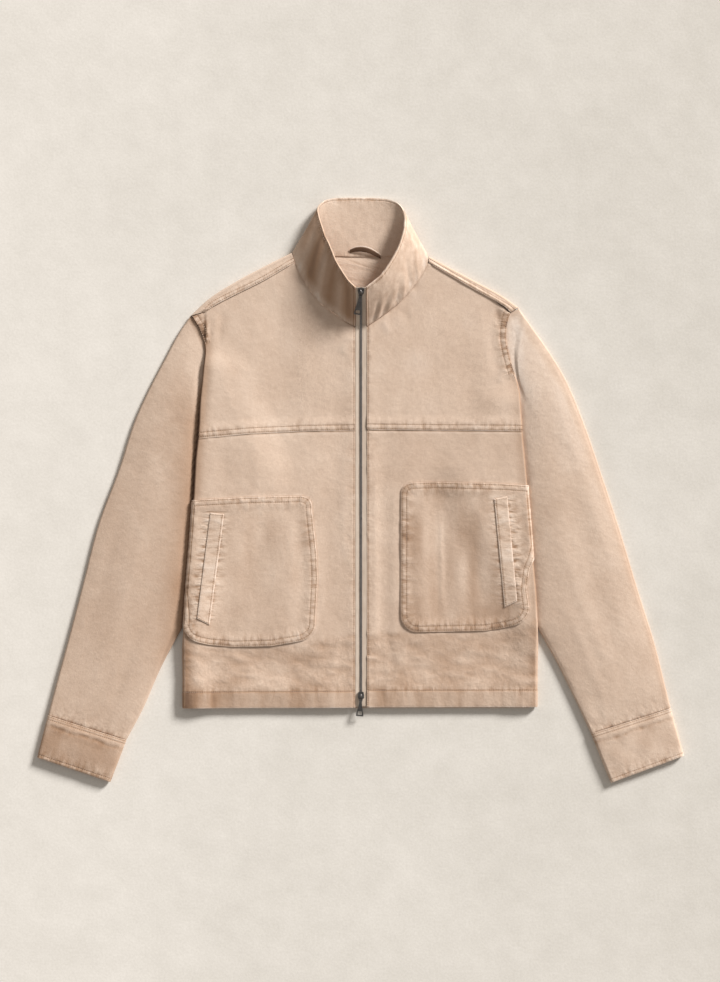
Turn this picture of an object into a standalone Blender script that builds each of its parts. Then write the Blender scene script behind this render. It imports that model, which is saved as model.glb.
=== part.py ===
"""A harrington jacket of washed cotton canvas, zipped to the top of its funnel collar and laid flat.

Each piece that a maker cuts is an open sheet through rows worked out from the tables below, given
its wall by Solidify. X runs across the jacket, Y from hem to collar, and Z up from the surface that
it lies on. The zip's centre line is at X = 0. Tables and lengths are in millimetres and become
metres when a mesh is made. "out" is the distance from the zip's centre line towards one side, and
left and right are as seen from above, with the collar away from the viewer.
"""

import math
from collections import namedtuple

import bmesh
import bpy
import numpy as np
from mathutils import Matrix, Vector

MM = 0.001
COLLECTION_NAME = "harrington_jacket"
GUIDES_NAME = "joined_shapes"

# ---------------------------------------------------------------- driving sizes, millimetres

WALL = 1.6  # one layer of canvas with its turnings
DOUBLE_WALL = 2.4  # two layers, as in the collar and cuffs
POCKET_WALL = 1.4
WELT_WALL = 1.2
TAPE_WALL = 1.0
SEAM_GAP = 0.3  # between pieces that are sewn together
COLLAR_GAP = 1.4  # at the back's neck, where the collar's wall leans back over its seam
LAP_GAP = 0.7  # under a welt, which bridges the patch's hollows

FRONT_TOP = 7.0  # height of a front's outer face where only the back lies under it
SLEEVE_UNDER = 5.0  # height of a sleeve where the body lies on it
FOLD_STACK = 5.6  # from a front's turned-under layer to its outer face
SLEEVE_MARGIN = 1.0  # how far the cloth over a sleeve stays level past the sleeve's edge
TIGHT_REACH = 20.0  # in which the turned-under layer comes down beside a sleeve, where there is room
LEAST_REACH = 4.0
DRAPE_REACH = 60.0  # in which the outer face comes down beside a sleeve
FOLD_FADE = 40.0  # length over which the side fold rises out of the armhole seam
LEAST_ROLL = 2.2  # smallest radius of a turned edge
LEAST_RUN = 1.0

ZIP_EDGE = 8.3  # from the centre line to a front's edge
TAPE_EDGE, COLLAR_TAPE_EDGE = 8.0, 7.2
TAPE_DROP = 0.8  # how far the tape lies below the fronts' outer face
TOP_PULL = 36.0  # lengths of the pull tabs, from the axis to the tip
BOTTOM_PULL = 29.0

# ---------------------------------------------------------------- outline tables, one set a side

# Columns: y, out. The body's side fold, from where it leaves the armhole seam to the hem.
LEFT_FOLD = [
    (208.8, 223.7), (167.3, 225.9), (127.3, 229.8), (77.2, 232.4), (44.3, 236.0),
    (-8.6, 238.8), (-103.0, 246.0), (-174.5, 251.7), (-226.0, 255.3), (-311.7, 254.5),
]
RIGHT_FOLD = [
    (161.6, 220.9), (147.3, 225.1), (117.3, 228.1), (84.4, 230.2), (44.3, 234.1),
    (15.7, 236.7), (-78.7, 243.8), (-150.2, 250.3), (-221.7, 253.1), (-310.3, 251.7),
]
# Columns: y, out. The armhole seam, from the shoulder to the underarm.
LEFT_ARMHOLE = [
    (248.8, 243.1), (233.1, 233.1), (208.8, 223.7), (147.3, 198.8), (75.8, 168.7), (32.9, 150.2),
]
RIGHT_ARMHOLE = [
    (260.3, 224.5), (253.5, 213.9), (236.0, 208.8), (220.2, 207.4), (195.9, 211.1),
    (174.5, 216.8), (161.6, 220.9), (114.4, 205.9), (64.4, 177.3), (32.9, 150.2),
]
# Columns: y, out. The side seam, on the back, from the underarm to the hem.
SIDE_SEAM = [
    (32.9, 150.2), (-14.0, 149.0), (-79.0, 166.0), (-157.0, 194.5), (-243.0, 223.0), (-311.7, 241.0),
]
# Columns: out, y. The neckline of a front, from the zip to the shoulder seam.
LEFT_NECK = [(8.3, 233.1), (22.9, 240.2), (40.0, 253.1), (57.2, 265.3), (71.5, 281.7), (86.7, 304.6), (94.9, 324.4)]
RIGHT_NECK = [(8.3, 233.1), (30.0, 247.4), (51.5, 263.8), (66.6, 278.9), (76.5, 291.0), (86.5, 306.0), (96.3, 324.5)]
# Columns: out, y. The forward shoulder seam, and on the left the top of the cloth beyond the fold.
LEFT_SHOULDER = [(94.9, 324.4), (138.7, 298.9), (178.8, 278.9), (208.8, 263.1), (220.6, 255.1), (242.6, 248.4)]
RIGHT_SHOULDER = [(96.3, 324.5), (124.4, 307.5), (164.5, 284.6), (204.5, 261.7), (213.7, 253.2)]
# Columns: out, y of the outer edge, out, y of the seam. The back's strip over the shoulder.
LEFT_STRIP = [
    (243.1, 248.8, 220.6, 255.1), (218.8, 271.7, 208.8, 263.1), (178.8, 297.4, 178.8, 278.9),
    (138.7, 318.9, 138.7, 298.9), (99.2, 338.7, 94.9, 324.4),
]
RIGHT_STRIP = [
    (224.5, 260.8, 213.9, 253.5), (204.5, 275.3, 204.5, 261.7), (164.5, 297.4, 164.5, 284.6),
    (124.4, 318.9, 124.4, 307.5), (97.2, 333.5, 96.3, 324.5),
]
# Columns: outer out, y, inner out, y, height, crown, reach of the crown from the outer edge.
LEFT_SLEEVE = [
    (243.1, 248.8, 150.2, 32.9, 5.0, 0.0, 0.30),
    (258.8, 225.9, 150.9, 28.6, 5.0, 0.8, 0.25),
    (278.9, 188.8, 152.3, 22.9, 5.0, 1.4, 0.34),
    (297.9, 153.0, 154.4, 14.3, 5.0, 1.8, 0.39),
    (321.8, 101.5, 160.2, 0.0, 5.0, 2.0, 0.49),
    (345.3, 30.0, 173.0, -31.5, 5.0, 2.2, 0.58),
    (373.8, -45.8, 200.2, -84.4, 5.0, 2.2, 0.69),
    (397.5, -135.9, 240.2, -168.7, 5.0, 2.0, 0.86),
    (421.3, -225.9, 288.1, -258.8, 5.8, 1.2, 1.0),
    (434.7, -274.6, 311.0, -311.7, 6.6, 0.4, 1.0),
    (446.9, -321.0, 334.8, -356.4, 7.0, 0.0, 1.0),
]
RIGHT_SLEEVE = [
    (224.5, 260.3, 150.2, 32.9, 5.0, 0.0, 0.30),
    (241.7, 236.0, 150.9, 28.6, 5.0, 0.8, 0.24),
    (263.1, 205.9, 152.3, 22.9, 5.0, 1.4, 0.29),
    (287.4, 167.3, 154.4, 14.3, 5.0, 1.8, 0.38),
    (318.9, 94.4, 160.2, 0.0, 5.0, 2.0, 0.48),
    (341.0, 30.0, 173.0, -31.5, 5.0, 2.2, 0.56),
    (366.1, -45.8, 200.2, -84.4, 5.0, 2.2, 0.68),
    (393.3, -135.9, 238.1, -170.2, 5.0, 2.0, 0.86),
    (420.4, -223.0, 283.1, -253.1, 5.8, 1.2, 1.0),
    (433.3, -274.6, 311.7, -311.7, 6.6, 0.4, 1.0),
    (442.2, -310.6, 328.2, -347.1, 7.0, 0.0, 1.0),
]
# Columns: outer out, y, inner out, y, height, crown, reach of the crown.
LEFT_CUFF = [(447.0, -321.4, 334.9, -356.8, 8.2, 0.0, 1.0), (462.5, -381.8, 357.8, -416.9, 7.8, 0.0, 1.0)]
RIGHT_CUFF = [(442.3, -311.0, 328.3, -347.5, 8.2, 0.0, 1.0), (461.2, -379.4, 356.8, -418.0, 7.8, 0.0, 1.0)]
# Columns: seam out, y, z, rim out, y, z, bulge. The collar, from the zip round to its centre back.
LEFT_COLLAR = [
    (8.3, 233.5, 7.0, 8.3, 286.0, 42.0, 2.0),
    (22.9, 240.6, 7.0, 17.2, 294.9, 42.0, 2.5),
    (40.0, 253.5, 7.0, 28.2, 310.5, 41.0, 3.0),
    (57.2, 265.8, 7.0, 36.8, 326.0, 39.5, 3.0),
    (71.2, 282.3, 7.0, 44.8, 346.1, 36.0, 3.0),
    (86.2, 305.2, 7.0, 51.8, 362.2, 31.5, 3.0),
    (93.9, 324.7, 7.0, 58.2, 381.5, 25.5, 2.0),
    (97.2, 335.6, 7.0, 60.2, 388.5, 22.5, 1.4),
    (97.9, 338.0, 6.0, 61.1, 392.8, 20.8, 1.0),
    (98.0, 339.6, 3.5, 61.8, 396.5, 19.0, 0.5),
    (97.6, 339.1, 1.0, 61.9, 399.3, 16.8, 0.2),
    (96.6, 338.0, 0.0, 61.5, 402.2, 14.6, 0.0),
    (90.1, 341.6, 0.0, 60.1, 405.4, 12.0, 0.0),
    (71.5, 337.3, 0.0, 54.3, 411.8, 7.0, 0.0),
    (47.2, 334.8, 0.0, 42.2, 416.4, 2.6, 0.0),
    (22.9, 333.7, 0.0, 21.5, 417.6, 0.3, 0.0),
    (0.0, 333.3, 0.0, 0.0, 417.6, 0.0, 0.0),
]
RIGHT_COLLAR = [
    (8.3, 233.5, 7.0, 8.3, 286.0, 42.0, 2.0),
    (30.0, 247.9, 7.0, 19.7, 295.0, 42.0, 2.5),
    (51.2, 264.3, 7.0, 32.3, 307.7, 41.0, 3.0),
    (66.2, 279.5, 7.0, 43.5, 324.6, 39.0, 3.0),
    (76.1, 291.6, 7.0, 51.3, 339.1, 36.0, 3.0),
    (86.0, 306.6, 7.0, 58.2, 357.9, 31.5, 3.0),
    (95.3, 324.7, 7.0, 62.1, 374.2, 26.5, 2.0),
    (95.9, 330.2, 7.0, 62.8, 381.0, 23.2, 1.4),
    (96.1, 332.6, 6.0, 63.1, 385.0, 21.4, 1.0),
    (96.1, 334.8, 3.5, 63.2, 388.5, 19.5, 0.5),
    (95.9, 334.5, 1.0, 62.9, 392.2, 17.4, 0.2),
    (95.7, 334.0, 0.0, 62.3, 395.8, 15.2, 0.0),
    (89.4, 339.2, 0.0, 61.1, 399.7, 12.5, 0.0),
    (71.5, 335.6, 0.0, 54.8, 407.6, 7.5, 0.0),
    (47.2, 333.9, 0.0, 42.2, 414.3, 3.0, 0.0),
    (22.9, 333.4, 0.0, 21.5, 417.1, 0.4, 0.0),
    (0.0, 333.3, 0.0, 0.0, 417.6, 0.0, 0.0),
]
BACK_NECK_START = 12  # the collar row from which it is sewn to the flat back
# Columns: out, y. Lines across a front: yoke seam, top and bottom of the patch, hem stitching, hem.
LEFT_LINES = {
    "yoke": [(8.0, 84.7), (79.0, 83.7), (159.0, 80.1), (240.0, 72.9)],
    "patch_top": [(8.0, -7.5), (88.0, -8.6), (160.0, -10.0), (240.0, -12.9)],
    "patch_bottom": [(8.0, -205.0), (64.0, -212.0), (127.0, -223.0), (169.0, -226.0), (254.0, -216.0)],
    "stitching": [(8.0, -287.5), (254.0, -288.1)],
    "hem": [(8.0, -311.0), (254.0, -311.7)],
}
RIGHT_LINES = {
    "yoke": [(8.0, 85.8), (124.0, 84.7), (240.0, 83.7)],
    "patch_top": [(8.0, 10.5), (57.0, 10.0), (109.0, 11.4), (199.0, 10.0), (240.0, 4.3)],
    "patch_bottom": [(8.0, -200.0), (76.0, -203.0), (174.0, -201.2), (199.0, -197.9), (254.0, -180.2)],
    "stitching": [(8.0, -286.0), (254.0, -285.3)],
    "hem": [(8.0, -310.4), (254.0, -309.9)],
}
# Columns: y, out. The patch's inner edge, carried on up and down as a line of the front.
LEFT_PATCH_EDGE = [(90.0, 72.0), (-31.5, 70.0), (-93.0, 63.5), (-133.0, 61.8), (-196.0, 65.0), (-312.0, 66.0)]
RIGHT_PATCH_EDGE = [(90.0, 57.0), (0.0, 56.8), (-160.0, 56.5), (-312.0, 58.0)]
# Columns: y, out of the welt's middle.
LEFT_WELT = [(-33.2, 204.6), (-108.7, 213.0), (-189.5, 224.4)]
RIGHT_WELT = [(-9.6, 199.5), (-85.0, 206.0), (-163.6, 213.5)]
WELT_WIDTH = 18.5

Fold = namedtuple("Fold", "out_a y_a out_b y_b width depth")
LEFT_FOLDS = [
    Fold(210.0, 240.0, 214.0, 190.0, 16.0, 1.0),  # cloth piled beside the armhole fold
    Fold(34.0, 190.0, 30.0, -280.0, 20.0, -0.8),
    Fold(120.0, 260.0, 105.0, 100.0, 26.0, -0.8),
    Fold(150.0, 60.0, 128.0, 10.0, 26.0, 0.9),
    Fold(118.0, -40.0, 110.0, -190.0, 22.0, 0.9),
    Fold(165.0, -235.0, 90.0, -270.0, 18.0, -0.9),
]
RIGHT_FOLDS = [
    Fold(193.0, 250.0, 198.0, 185.0, 16.0, -1.2),  # the trough inside the armhole seam
    Fold(36.0, 70.0, 34.0, -280.0, 20.0, -1.1),
    Fold(112.0, -15.0, 116.0, -190.0, 20.0, -1.2),
    Fold(156.0, -20.0, 160.0, -185.0, 18.0, -0.8),
    Fold(84.0, -20.0, 86.0, -180.0, 18.0, 0.9),
    Fold(140.0, -225.0, 70.0, -262.0, 18.0, -0.9),
]

Side = namedtuple(
    "Side",
    "name sign fold armhole neck shoulder strip sleeve cuff collar lines patch_edge welt folds turn_fade",
)
# turn_fade: columns y, degrees. How far the side's edge is turned under, row by row.
LEFT = Side(
    "left", -1, LEFT_FOLD, LEFT_ARMHOLE, LEFT_NECK, LEFT_SHOULDER, LEFT_STRIP, LEFT_SLEEVE, LEFT_CUFF,
    LEFT_COLLAR, LEFT_LINES, LEFT_PATCH_EDGE, LEFT_WELT, LEFT_FOLDS,
    [(215.0, 15.0), (195.0, 70.0), (178.0, 150.0), (160.0, 180.0)],
)
RIGHT = Side(
    "right", 1, RIGHT_FOLD, RIGHT_ARMHOLE, RIGHT_NECK, RIGHT_SHOULDER, RIGHT_STRIP, RIGHT_SLEEVE,
    RIGHT_CUFF, RIGHT_COLLAR, RIGHT_LINES, RIGHT_PATCH_EDGE, RIGHT_WELT, RIGHT_FOLDS,
    [(168.0, 15.0), (152.0, 70.0), (138.0, 150.0), (120.0, 180.0)],
)

# How finely the sheets are divided.
CHEST_ROWS = 8
ROLL_STEPS = 4
ZIP_COLUMNS = 3
PATCH_COLUMNS = (0.0, 0.07, 0.2, 0.36, 0.52, 0.68, 0.84, 1.0)
YOKE_ROWS = 4
PATCH_ROWS = (0.0, 0.06, 0.2, 0.4, 0.6, 0.8, 0.94, 1.0)
LOWER_ROWS = (0.0, 0.33, 0.66)
EDGE_OUT = 240.0  # where the lines across a front are read for its side
CORNER_SHIFT = 0.62  # of a cell, by which the patch's corners are rounded off


# ---------------------------------------------------------------- curves and heights


def smoothstep(t):
    t = np.clip(t, 0.0, 1.0)
    return t * t * (3.0 - 2.0 * t)


def mix(a, b, t):
    return a + (b - a) * t


def read_table(table, position):
    """A table's second column at a position in its first, between its rows."""
    rows = np.asarray(sorted(table), float)
    return np.interp(position, rows[:, 0], rows[:, 1])


def smooth_rows(rows, count):
    """The given number of rows on a smooth curve through all columns of a table, evenly spaced."""
    rows = np.asarray(rows, float)
    steps = np.linalg.norm(np.diff(rows[:, :2], axis=0), axis=1)
    knots = np.concatenate([[0.0], np.cumsum(steps)])
    slopes = np.gradient(rows, knots, axis=0)
    position = np.linspace(0.0, knots[-1], count)
    i = np.clip(np.searchsorted(knots, position, side="right") - 1, 0, len(knots) - 2)
    span = (knots[i + 1] - knots[i])[:, None]
    t = (position - knots[i])[:, None] / span
    near = (1 + 2 * t) * rows[i] + t * span * slopes[i]
    far = (3 - 2 * t) * rows[i + 1] + (t - 1) * span * slopes[i + 1]
    return (1 - t) ** 2 * near + t**2 * far


def under_edge(side, y):
    """Where the sleeve under the body begins: the armhole seam, and below it the sleeve's inner edge."""
    inner = [(row[3], row[2]) for row in side.sleeve[1:]]
    return read_table(side.armhole + inner, y)


def seam_edge(side, y):
    """Where a front's turned-under cloth ends: at the armhole seam, and below it at the side seam."""
    return np.where(y > SIDE_SEAM[0][0], read_table(side.armhole, y), read_table(SIDE_SEAM, y))


def over_sleeve(side, out, y, reach):
    """1 on the sleeve under the body, falling to 0 in the given reach beside it."""
    return 1.0 - smoothstep((under_edge(side, y) - SLEEVE_MARGIN - out) / reach)


def under_height(side, out, y):
    """Height at which the turned-under layer lies: on the sleeve or on the surface."""
    room = under_edge(side, y) - SLEEVE_MARGIN - seam_edge(side, y)
    return (SLEEVE_UNDER + SEAM_GAP) * over_sleeve(side, out, y, np.clip(room, LEAST_REACH, TIGHT_REACH))


def fold_height(folds, out, y):
    """Sum of soft ridges and troughs, each along its own line."""
    total = np.zeros(np.broadcast(out, y).shape)
    for fold in folds:
        run_out, run_y = fold.out_b - fold.out_a, fold.y_b - fold.y_a
        along = ((out - fold.out_a) * run_out + (y - fold.y_a) * run_y) / (run_out**2 + run_y**2)
        along = np.clip(along, 0.0, 1.0)
        away = np.hypot(out - fold.out_a - along * run_out, y - fold.y_a - along * run_y)
        total = total + fold.depth * np.exp(-((away / fold.width) ** 2))
    return total


def front_height(side, out, y):
    """Height of a front's outer face."""
    out, y = np.asarray(out, float), np.asarray(y, float)
    lifted = over_sleeve(side, out, y, DRAPE_REACH) * smoothstep((side.fold[0][0] - y) / FOLD_FADE)
    full = SLEEVE_UNDER + SEAM_GAP + FOLD_STACK
    return FRONT_TOP + lifted * (full - FRONT_TOP) + fold_height(side.folds, out, y)


# ---------------------------------------------------------------- making objects


def clear_scene():
    for obj in list(bpy.data.objects):
        bpy.data.objects.remove(obj, do_unlink=True)


def make_collection(name):
    collection = bpy.data.collections.new(name)
    bpy.context.scene.collection.children.link(collection)
    return collection


def make_material(name, colour, roughness, metallic=0.0):
    material = bpy.data.materials.new(name)
    material.use_nodes = True
    shader = material.node_tree.nodes["Principled BSDF"]
    shader.inputs["Base Color"].default_value = (*colour, 1.0)
    shader.inputs["Roughness"].default_value = roughness
    shader.inputs["Metallic"].default_value = metallic
    material.diffuse_color = (*colour, 1.0)
    return material


def grid_faces(rows, columns, first, closed, flip):
    """Quads of a grid of points, numbered row by row from the first."""
    faces = []
    for i in range(rows - 1):
        for k in range(columns if closed else columns - 1):
            a = first + i * columns + k
            b = first + i * columns + (k + 1) % columns
            quad = (a, b, b + columns, a + columns)
            faces.append(quad[::-1] if flip else quad)
    return faces


def make_cloth(name, grids, wall, material, flip, closed=False):
    """A sheet through grids of points on its outer face, with its wall behind that face."""
    points, faces = [], []
    for grid in grids:
        grid = np.asarray(grid, float)
        faces += grid_faces(len(grid), len(grid[0]), len(points), closed, flip)
        points += (grid.reshape(-1, 3) * MM).tolist()
    mesh = bpy.data.meshes.new(name)
    mesh.from_pydata(points, [], faces)
    sheet = bmesh.new()
    sheet.from_mesh(mesh)
    bmesh.ops.remove_doubles(sheet, verts=sheet.verts, dist=1e-6)
    sheet.to_mesh(mesh)
    sheet.free()
    mesh.shade_smooth()
    mesh.materials.append(material)
    obj = bpy.data.objects.new(name, mesh)
    JACKET.objects.link(obj)
    solidify = obj.modifiers.new("wall", "SOLIDIFY")
    solidify.thickness = wall * MM
    solidify.offset = -1.0
    solidify.use_quality_normals = True
    return obj


def signed(side, out, y, z):
    """Points in the jacket's frame from one side's own measures."""
    out, y, z = np.broadcast_arrays(out, y, z)
    return np.stack([side.sign * out, y, z], axis=-1)


# ---------------------------------------------------------------- fronts


def turned_row(side, plan):
    """One row of a front: from the zip over its face, round the side fold and back under to the seam."""
    plan = np.asarray(plan, float)
    edge_out, y = plan[-1]
    turn = math.radians(float(read_table(side.turn_fade, y)))
    low = float(under_height(side, edge_out, y))
    radius = max((float(front_height(side, edge_out, y)) - low) / 2, LEAST_ROLL)
    out = ZIP_EDGE + (plan[:, 0] - ZIP_EDGE) * (edge_out - radius - ZIP_EDGE) / (edge_out - ZIP_EDGE)
    z = front_height(side, out, plan[:, 1])
    face = signed(side, out, plan[:, 1], z)

    radius = max((z[-1] - low) / 2, LEAST_ROLL)
    angle = turn * np.arange(1, ROLL_STEPS + 1) / ROLL_STEPS
    roll_out = out[-1] + radius * np.sin(angle)
    roll_z = z[-1] - radius + radius * np.cos(angle)
    roll = signed(side, roll_out, y, roll_z)

    turned = smoothstep(2 * turn / math.pi - 1)
    start, end = roll_out[-1], float(seam_edge(side, y)) + SEAM_GAP / 2
    bend = np.clip(float(under_edge(side, y)) - SLEEVE_MARGIN, end + LEAST_RUN, start - LEAST_RUN)
    part = (start - np.array([mix(start, bend, 0.5), bend, mix(bend, end, 0.5), end])) / (start - end)
    width = mix(LEAST_RUN, start - end, turned**3)
    run_out = start + width * math.cos(turn) * part
    run_z = np.maximum(roll_z[-1] - width * math.sin(turn) * part, under_height(side, run_out, y))
    run = signed(side, run_out, y, run_z)
    return np.concatenate([face, roll, run])


def chest_grid(side):
    """The upper front, between neckline, shoulder seam, armhole and yoke seam."""
    top = np.array(side.neck + side.shoulder[1:])
    top[:, 1] -= SEAM_GAP
    top_out = top[:, 0]
    share = (top_out - ZIP_EDGE) / (top_out[-1] - ZIP_EDGE)
    fold_top, yoke_y = side.fold[0][0], side.lines["yoke"][-1][1]
    edge = [tuple(top[-1])]
    edge += [(out, y) for y, out in side.armhole if fold_top < y < top[-1, 1] - LEAST_RUN]
    edge += [(out, y) for y, out in side.fold if y > yoke_y + LEAST_RUN]
    edge.append((float(read_table(side.fold, yoke_y)), yoke_y))
    edge = smooth_rows(edge, CHEST_ROWS + 1)
    bottom_out = ZIP_EDGE + share * (edge[-1, 0] - ZIP_EDGE)
    bottom = np.stack([bottom_out, read_table(side.lines["yoke"], bottom_out) + SEAM_GAP / 2], axis=1)
    edge[-1] = bottom[-1]
    rows = []
    for i, corner in enumerate(edge):
        down = i / CHEST_ROWS
        plan = mix(top, bottom, down)
        plan += (share**2)[:, None] * (corner - plan[-1])
        rows.append(turned_row(side, plan))
    return np.array(rows)


def front_line(side, name, shift=0.0):
    """A line across a front as a function of out."""
    return lambda out: read_table(side.lines[name], out) + shift


def front_rows(side):
    """The lower front's rows from yoke to hem: two lines, the share between them, y at the side."""
    yoke = front_line(side, "yoke", -SEAM_GAP / 2)
    patch_top, patch_bottom = front_line(side, "patch_top"), front_line(side, "patch_bottom")
    stitching, hem = front_line(side, "stitching"), front_line(side, "hem")
    underarm = SIDE_SEAM[0][0]
    at = float((yoke(EDGE_OUT) - underarm) / (yoke(EDGE_OUT) - patch_top(EDGE_OUT)))
    bands = [
        (yoke, patch_top, (0.0, at / 2, at, (1.0 + at) / 2)),
        (patch_top, patch_bottom, PATCH_ROWS[:-1]),
        (patch_bottom, stitching, LOWER_ROWS),
        (stitching, hem, (0.0, 1.0)),
    ]
    return [
        (upper, lower, share, float(mix(upper(EDGE_OUT), lower(EDGE_OUT), share)))
        for upper, lower, shares in bands
        for share in shares
    ]


def front_grid(side):
    """The lower front, with rows along the patch's top and bottom and a column on its inner edge."""
    rows = []
    for upper, lower, share, side_y in front_rows(side):
        edge = float(read_table(side.fold, side_y))
        patch = float(read_table(side.patch_edge, side_y))
        out = np.concatenate([
            np.linspace(ZIP_EDGE, patch, ZIP_COLUMNS + 1)[:-1],
            mix(patch, edge, np.array(PATCH_COLUMNS)),
        ])
        plan = np.stack([out, mix(upper(out), lower(out), share)], axis=1)
        plan[-1, 1] = side_y
        rows.append(turned_row(side, plan))
    return np.array(rows)


def outward_normals(grid, sign):
    """Unit normals of a front's outer face at its grid points."""
    down = np.gradient(grid, axis=0)
    across = np.gradient(grid, axis=1)
    normal = np.cross(down, across) * sign
    return normal / np.linalg.norm(normal, axis=2, keepdims=True)


def patch_grid(side, front):
    """The patch pocket: the front's own points, moved out, with its free corners rounded off."""
    raised = front + outward_normals(front, side.sign) * (SEAM_GAP + POCKET_WALL)
    first_row, last_row = YOKE_ROWS, YOKE_ROWS + len(PATCH_ROWS) - 1
    first_column = ZIP_COLUMNS
    last_column = ZIP_COLUMNS + len(PATCH_COLUMNS) - 1 + ROLL_STEPS // 2
    patch = raised[first_row : last_row + 1, first_column : last_column + 1].copy()
    for row, inward in ((0, 1), (-1, -1)):
        patch[row, 0] = mix(patch[row, 0], patch[row + inward, 1], CORNER_SHIFT)
    return patch


def height_on(grid, x, y):
    """Height of a grid's surface over a point, between the grid's own points."""
    row_y = grid[:, :, 1].mean(axis=1)
    i = float(np.interp(-y, -row_y, np.arange(len(row_y))))
    low = min(int(i), len(grid) - 2)
    row = mix(grid[low], grid[low + 1], i - low)
    order = np.argsort(row[:, 0])
    return float(np.interp(x, row[order, 0], row[order, 2]))


def welt_grid(side, patch):
    """The slanted welt of the pocket's mouth, on the patch."""
    rows = []
    for out, y in smooth_rows([(out, y) for y, out in side.welt], 8):
        row = []
        for offset in (-WELT_WIDTH / 2, 0.0, WELT_WIDTH / 2):
            x = side.sign * (out + offset)
            row.append((x, y, height_on(patch, x, y) + LAP_GAP + WELT_WALL))
        rows.append(row)
    return np.array(rows)


# ---------------------------------------------------------------- sleeves and cuffs

TOP_SHARES = np.linspace(0.0, 1.0, 9)
BOTTOM_SHARES = np.linspace(1.0, 0.0, 6)
ARC_ANGLES = np.radians([60.0, 20.0, -20.0, -60.0])


def tube_ring(side, row, seam=None, follow=0.0):
    """Points round a flattened tube between its outer and inner edges. It can follow a bowed seam."""
    outer, inner = np.array(row[0:2]), np.array(row[2:4])
    height, crown, reach = row[4:7]
    width = np.linalg.norm(inner - outer)
    across = (inner - outer) / width
    radius = height / 2

    def place(share):
        at = mix(outer + across * radius, inner - across * radius, share[:, None])
        if seam is not None:
            at = at + follow * seam(share)
        return at

    arc_in = radius * np.cos(ARC_ANGLES)
    arc_z = radius + radius * np.sin(ARC_ANGLES)
    top = place(TOP_SHARES)
    top_z = height + crown * np.sin(np.pi * np.clip(TOP_SHARES / reach, 0.0, 1.0))
    bottom = place(BOTTOM_SHARES)
    inner_arc = (inner - across * radius) + across * arc_in[:, None]
    outer_arc = (outer + across * radius) - across * arc_in[::-1, None]
    plan = np.concatenate([top, inner_arc, bottom, outer_arc])
    z = np.concatenate([top_z, arc_z, np.zeros(len(BOTTOM_SHARES)), arc_z[::-1]])
    return signed(side, plan[:, 0], plan[:, 1], z)


def armhole_bow(side):
    """How far the armhole seam lies off the straight line between its ends, as a function of share."""
    seam = smooth_rows([(out, y) for y, out in side.armhole], 33)
    straight = mix(seam[0], seam[-1], np.linspace(0, 1, 33)[:, None])
    shares = np.linspace(0, 1, 33)

    def bow(share):
        offset = seam - straight
        return np.stack([np.interp(share, shares, offset[:, i]) for i in (0, 1)], axis=1)

    return bow


FOLLOW_SEAM = (1.0, 0.75, 0.45, 0.2)  # how far the first rings of a sleeve follow the armhole's bow
SLEEVE_RINGS = 17


def sleeve_grid(side):
    rows = smooth_rows(side.sleeve, SLEEVE_RINGS)
    rows[0, 0:3:2] += SEAM_GAP
    bow = armhole_bow(side)
    stations = np.linspace(0, SLEEVE_RINGS - 1, SLEEVE_RINGS) * (len(side.sleeve) - 1) / (SLEEVE_RINGS - 1)
    follow = np.interp(stations, np.arange(len(FOLLOW_SEAM) + 1), FOLLOW_SEAM + (0.0,))
    return np.array([tube_ring(side, row, bow, share) for row, share in zip(rows, follow)])


def cuff_grid(side):
    return np.array([tube_ring(side, row) for row in smooth_rows(side.cuff, 3)])


# ---------------------------------------------------------------- back

STRIP_ROLL = np.radians([36.0, 72.0, 108.0, 144.0, 180.0])


def back_boundary(side):
    """The back's edge on one side, up the side seam and the armhole, and its number of seam rows."""
    underarm = SIDE_SEAM[0][0]
    levels = [y for *_, y in front_rows(side) if y <= underarm + SEAM_GAP][::-1]
    seam = np.stack([seam_edge(side, np.array(levels)) - SEAM_GAP / 2, levels], axis=1)
    ring = sleeve_grid(side)[0]
    bottom = len(TOP_SHARES) + len(ARC_ANGLES)
    armhole = ring[bottom : bottom + len(BOTTOM_SHARES), 0:2] * (side.sign, 1.0)
    armhole[:, 0] -= 2 * SEAM_GAP
    corner = np.array(side.strip[0][0:2])
    return np.concatenate([seam, armhole, [corner]]), len(levels) - 1


def strip_rows(side):
    """Rows of the strip over the shoulder, from the armhole to the neck, as (start, edge, seam)."""
    rows = np.array(side.strip)
    edge, seam = rows[:, 0:2], rows[:, 2:4]
    inward = (seam - edge) / np.linalg.norm(seam - edge, axis=1, keepdims=True)
    return edge, seam, inward


def back_neck(side):
    """The back's neck edge on one side, from the shoulder to the centre: just below the collar."""
    rows = [(row[0], row[1] - COLLAR_GAP) for row in side.collar[BACK_NECK_START:]]
    return np.array(rows)


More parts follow.
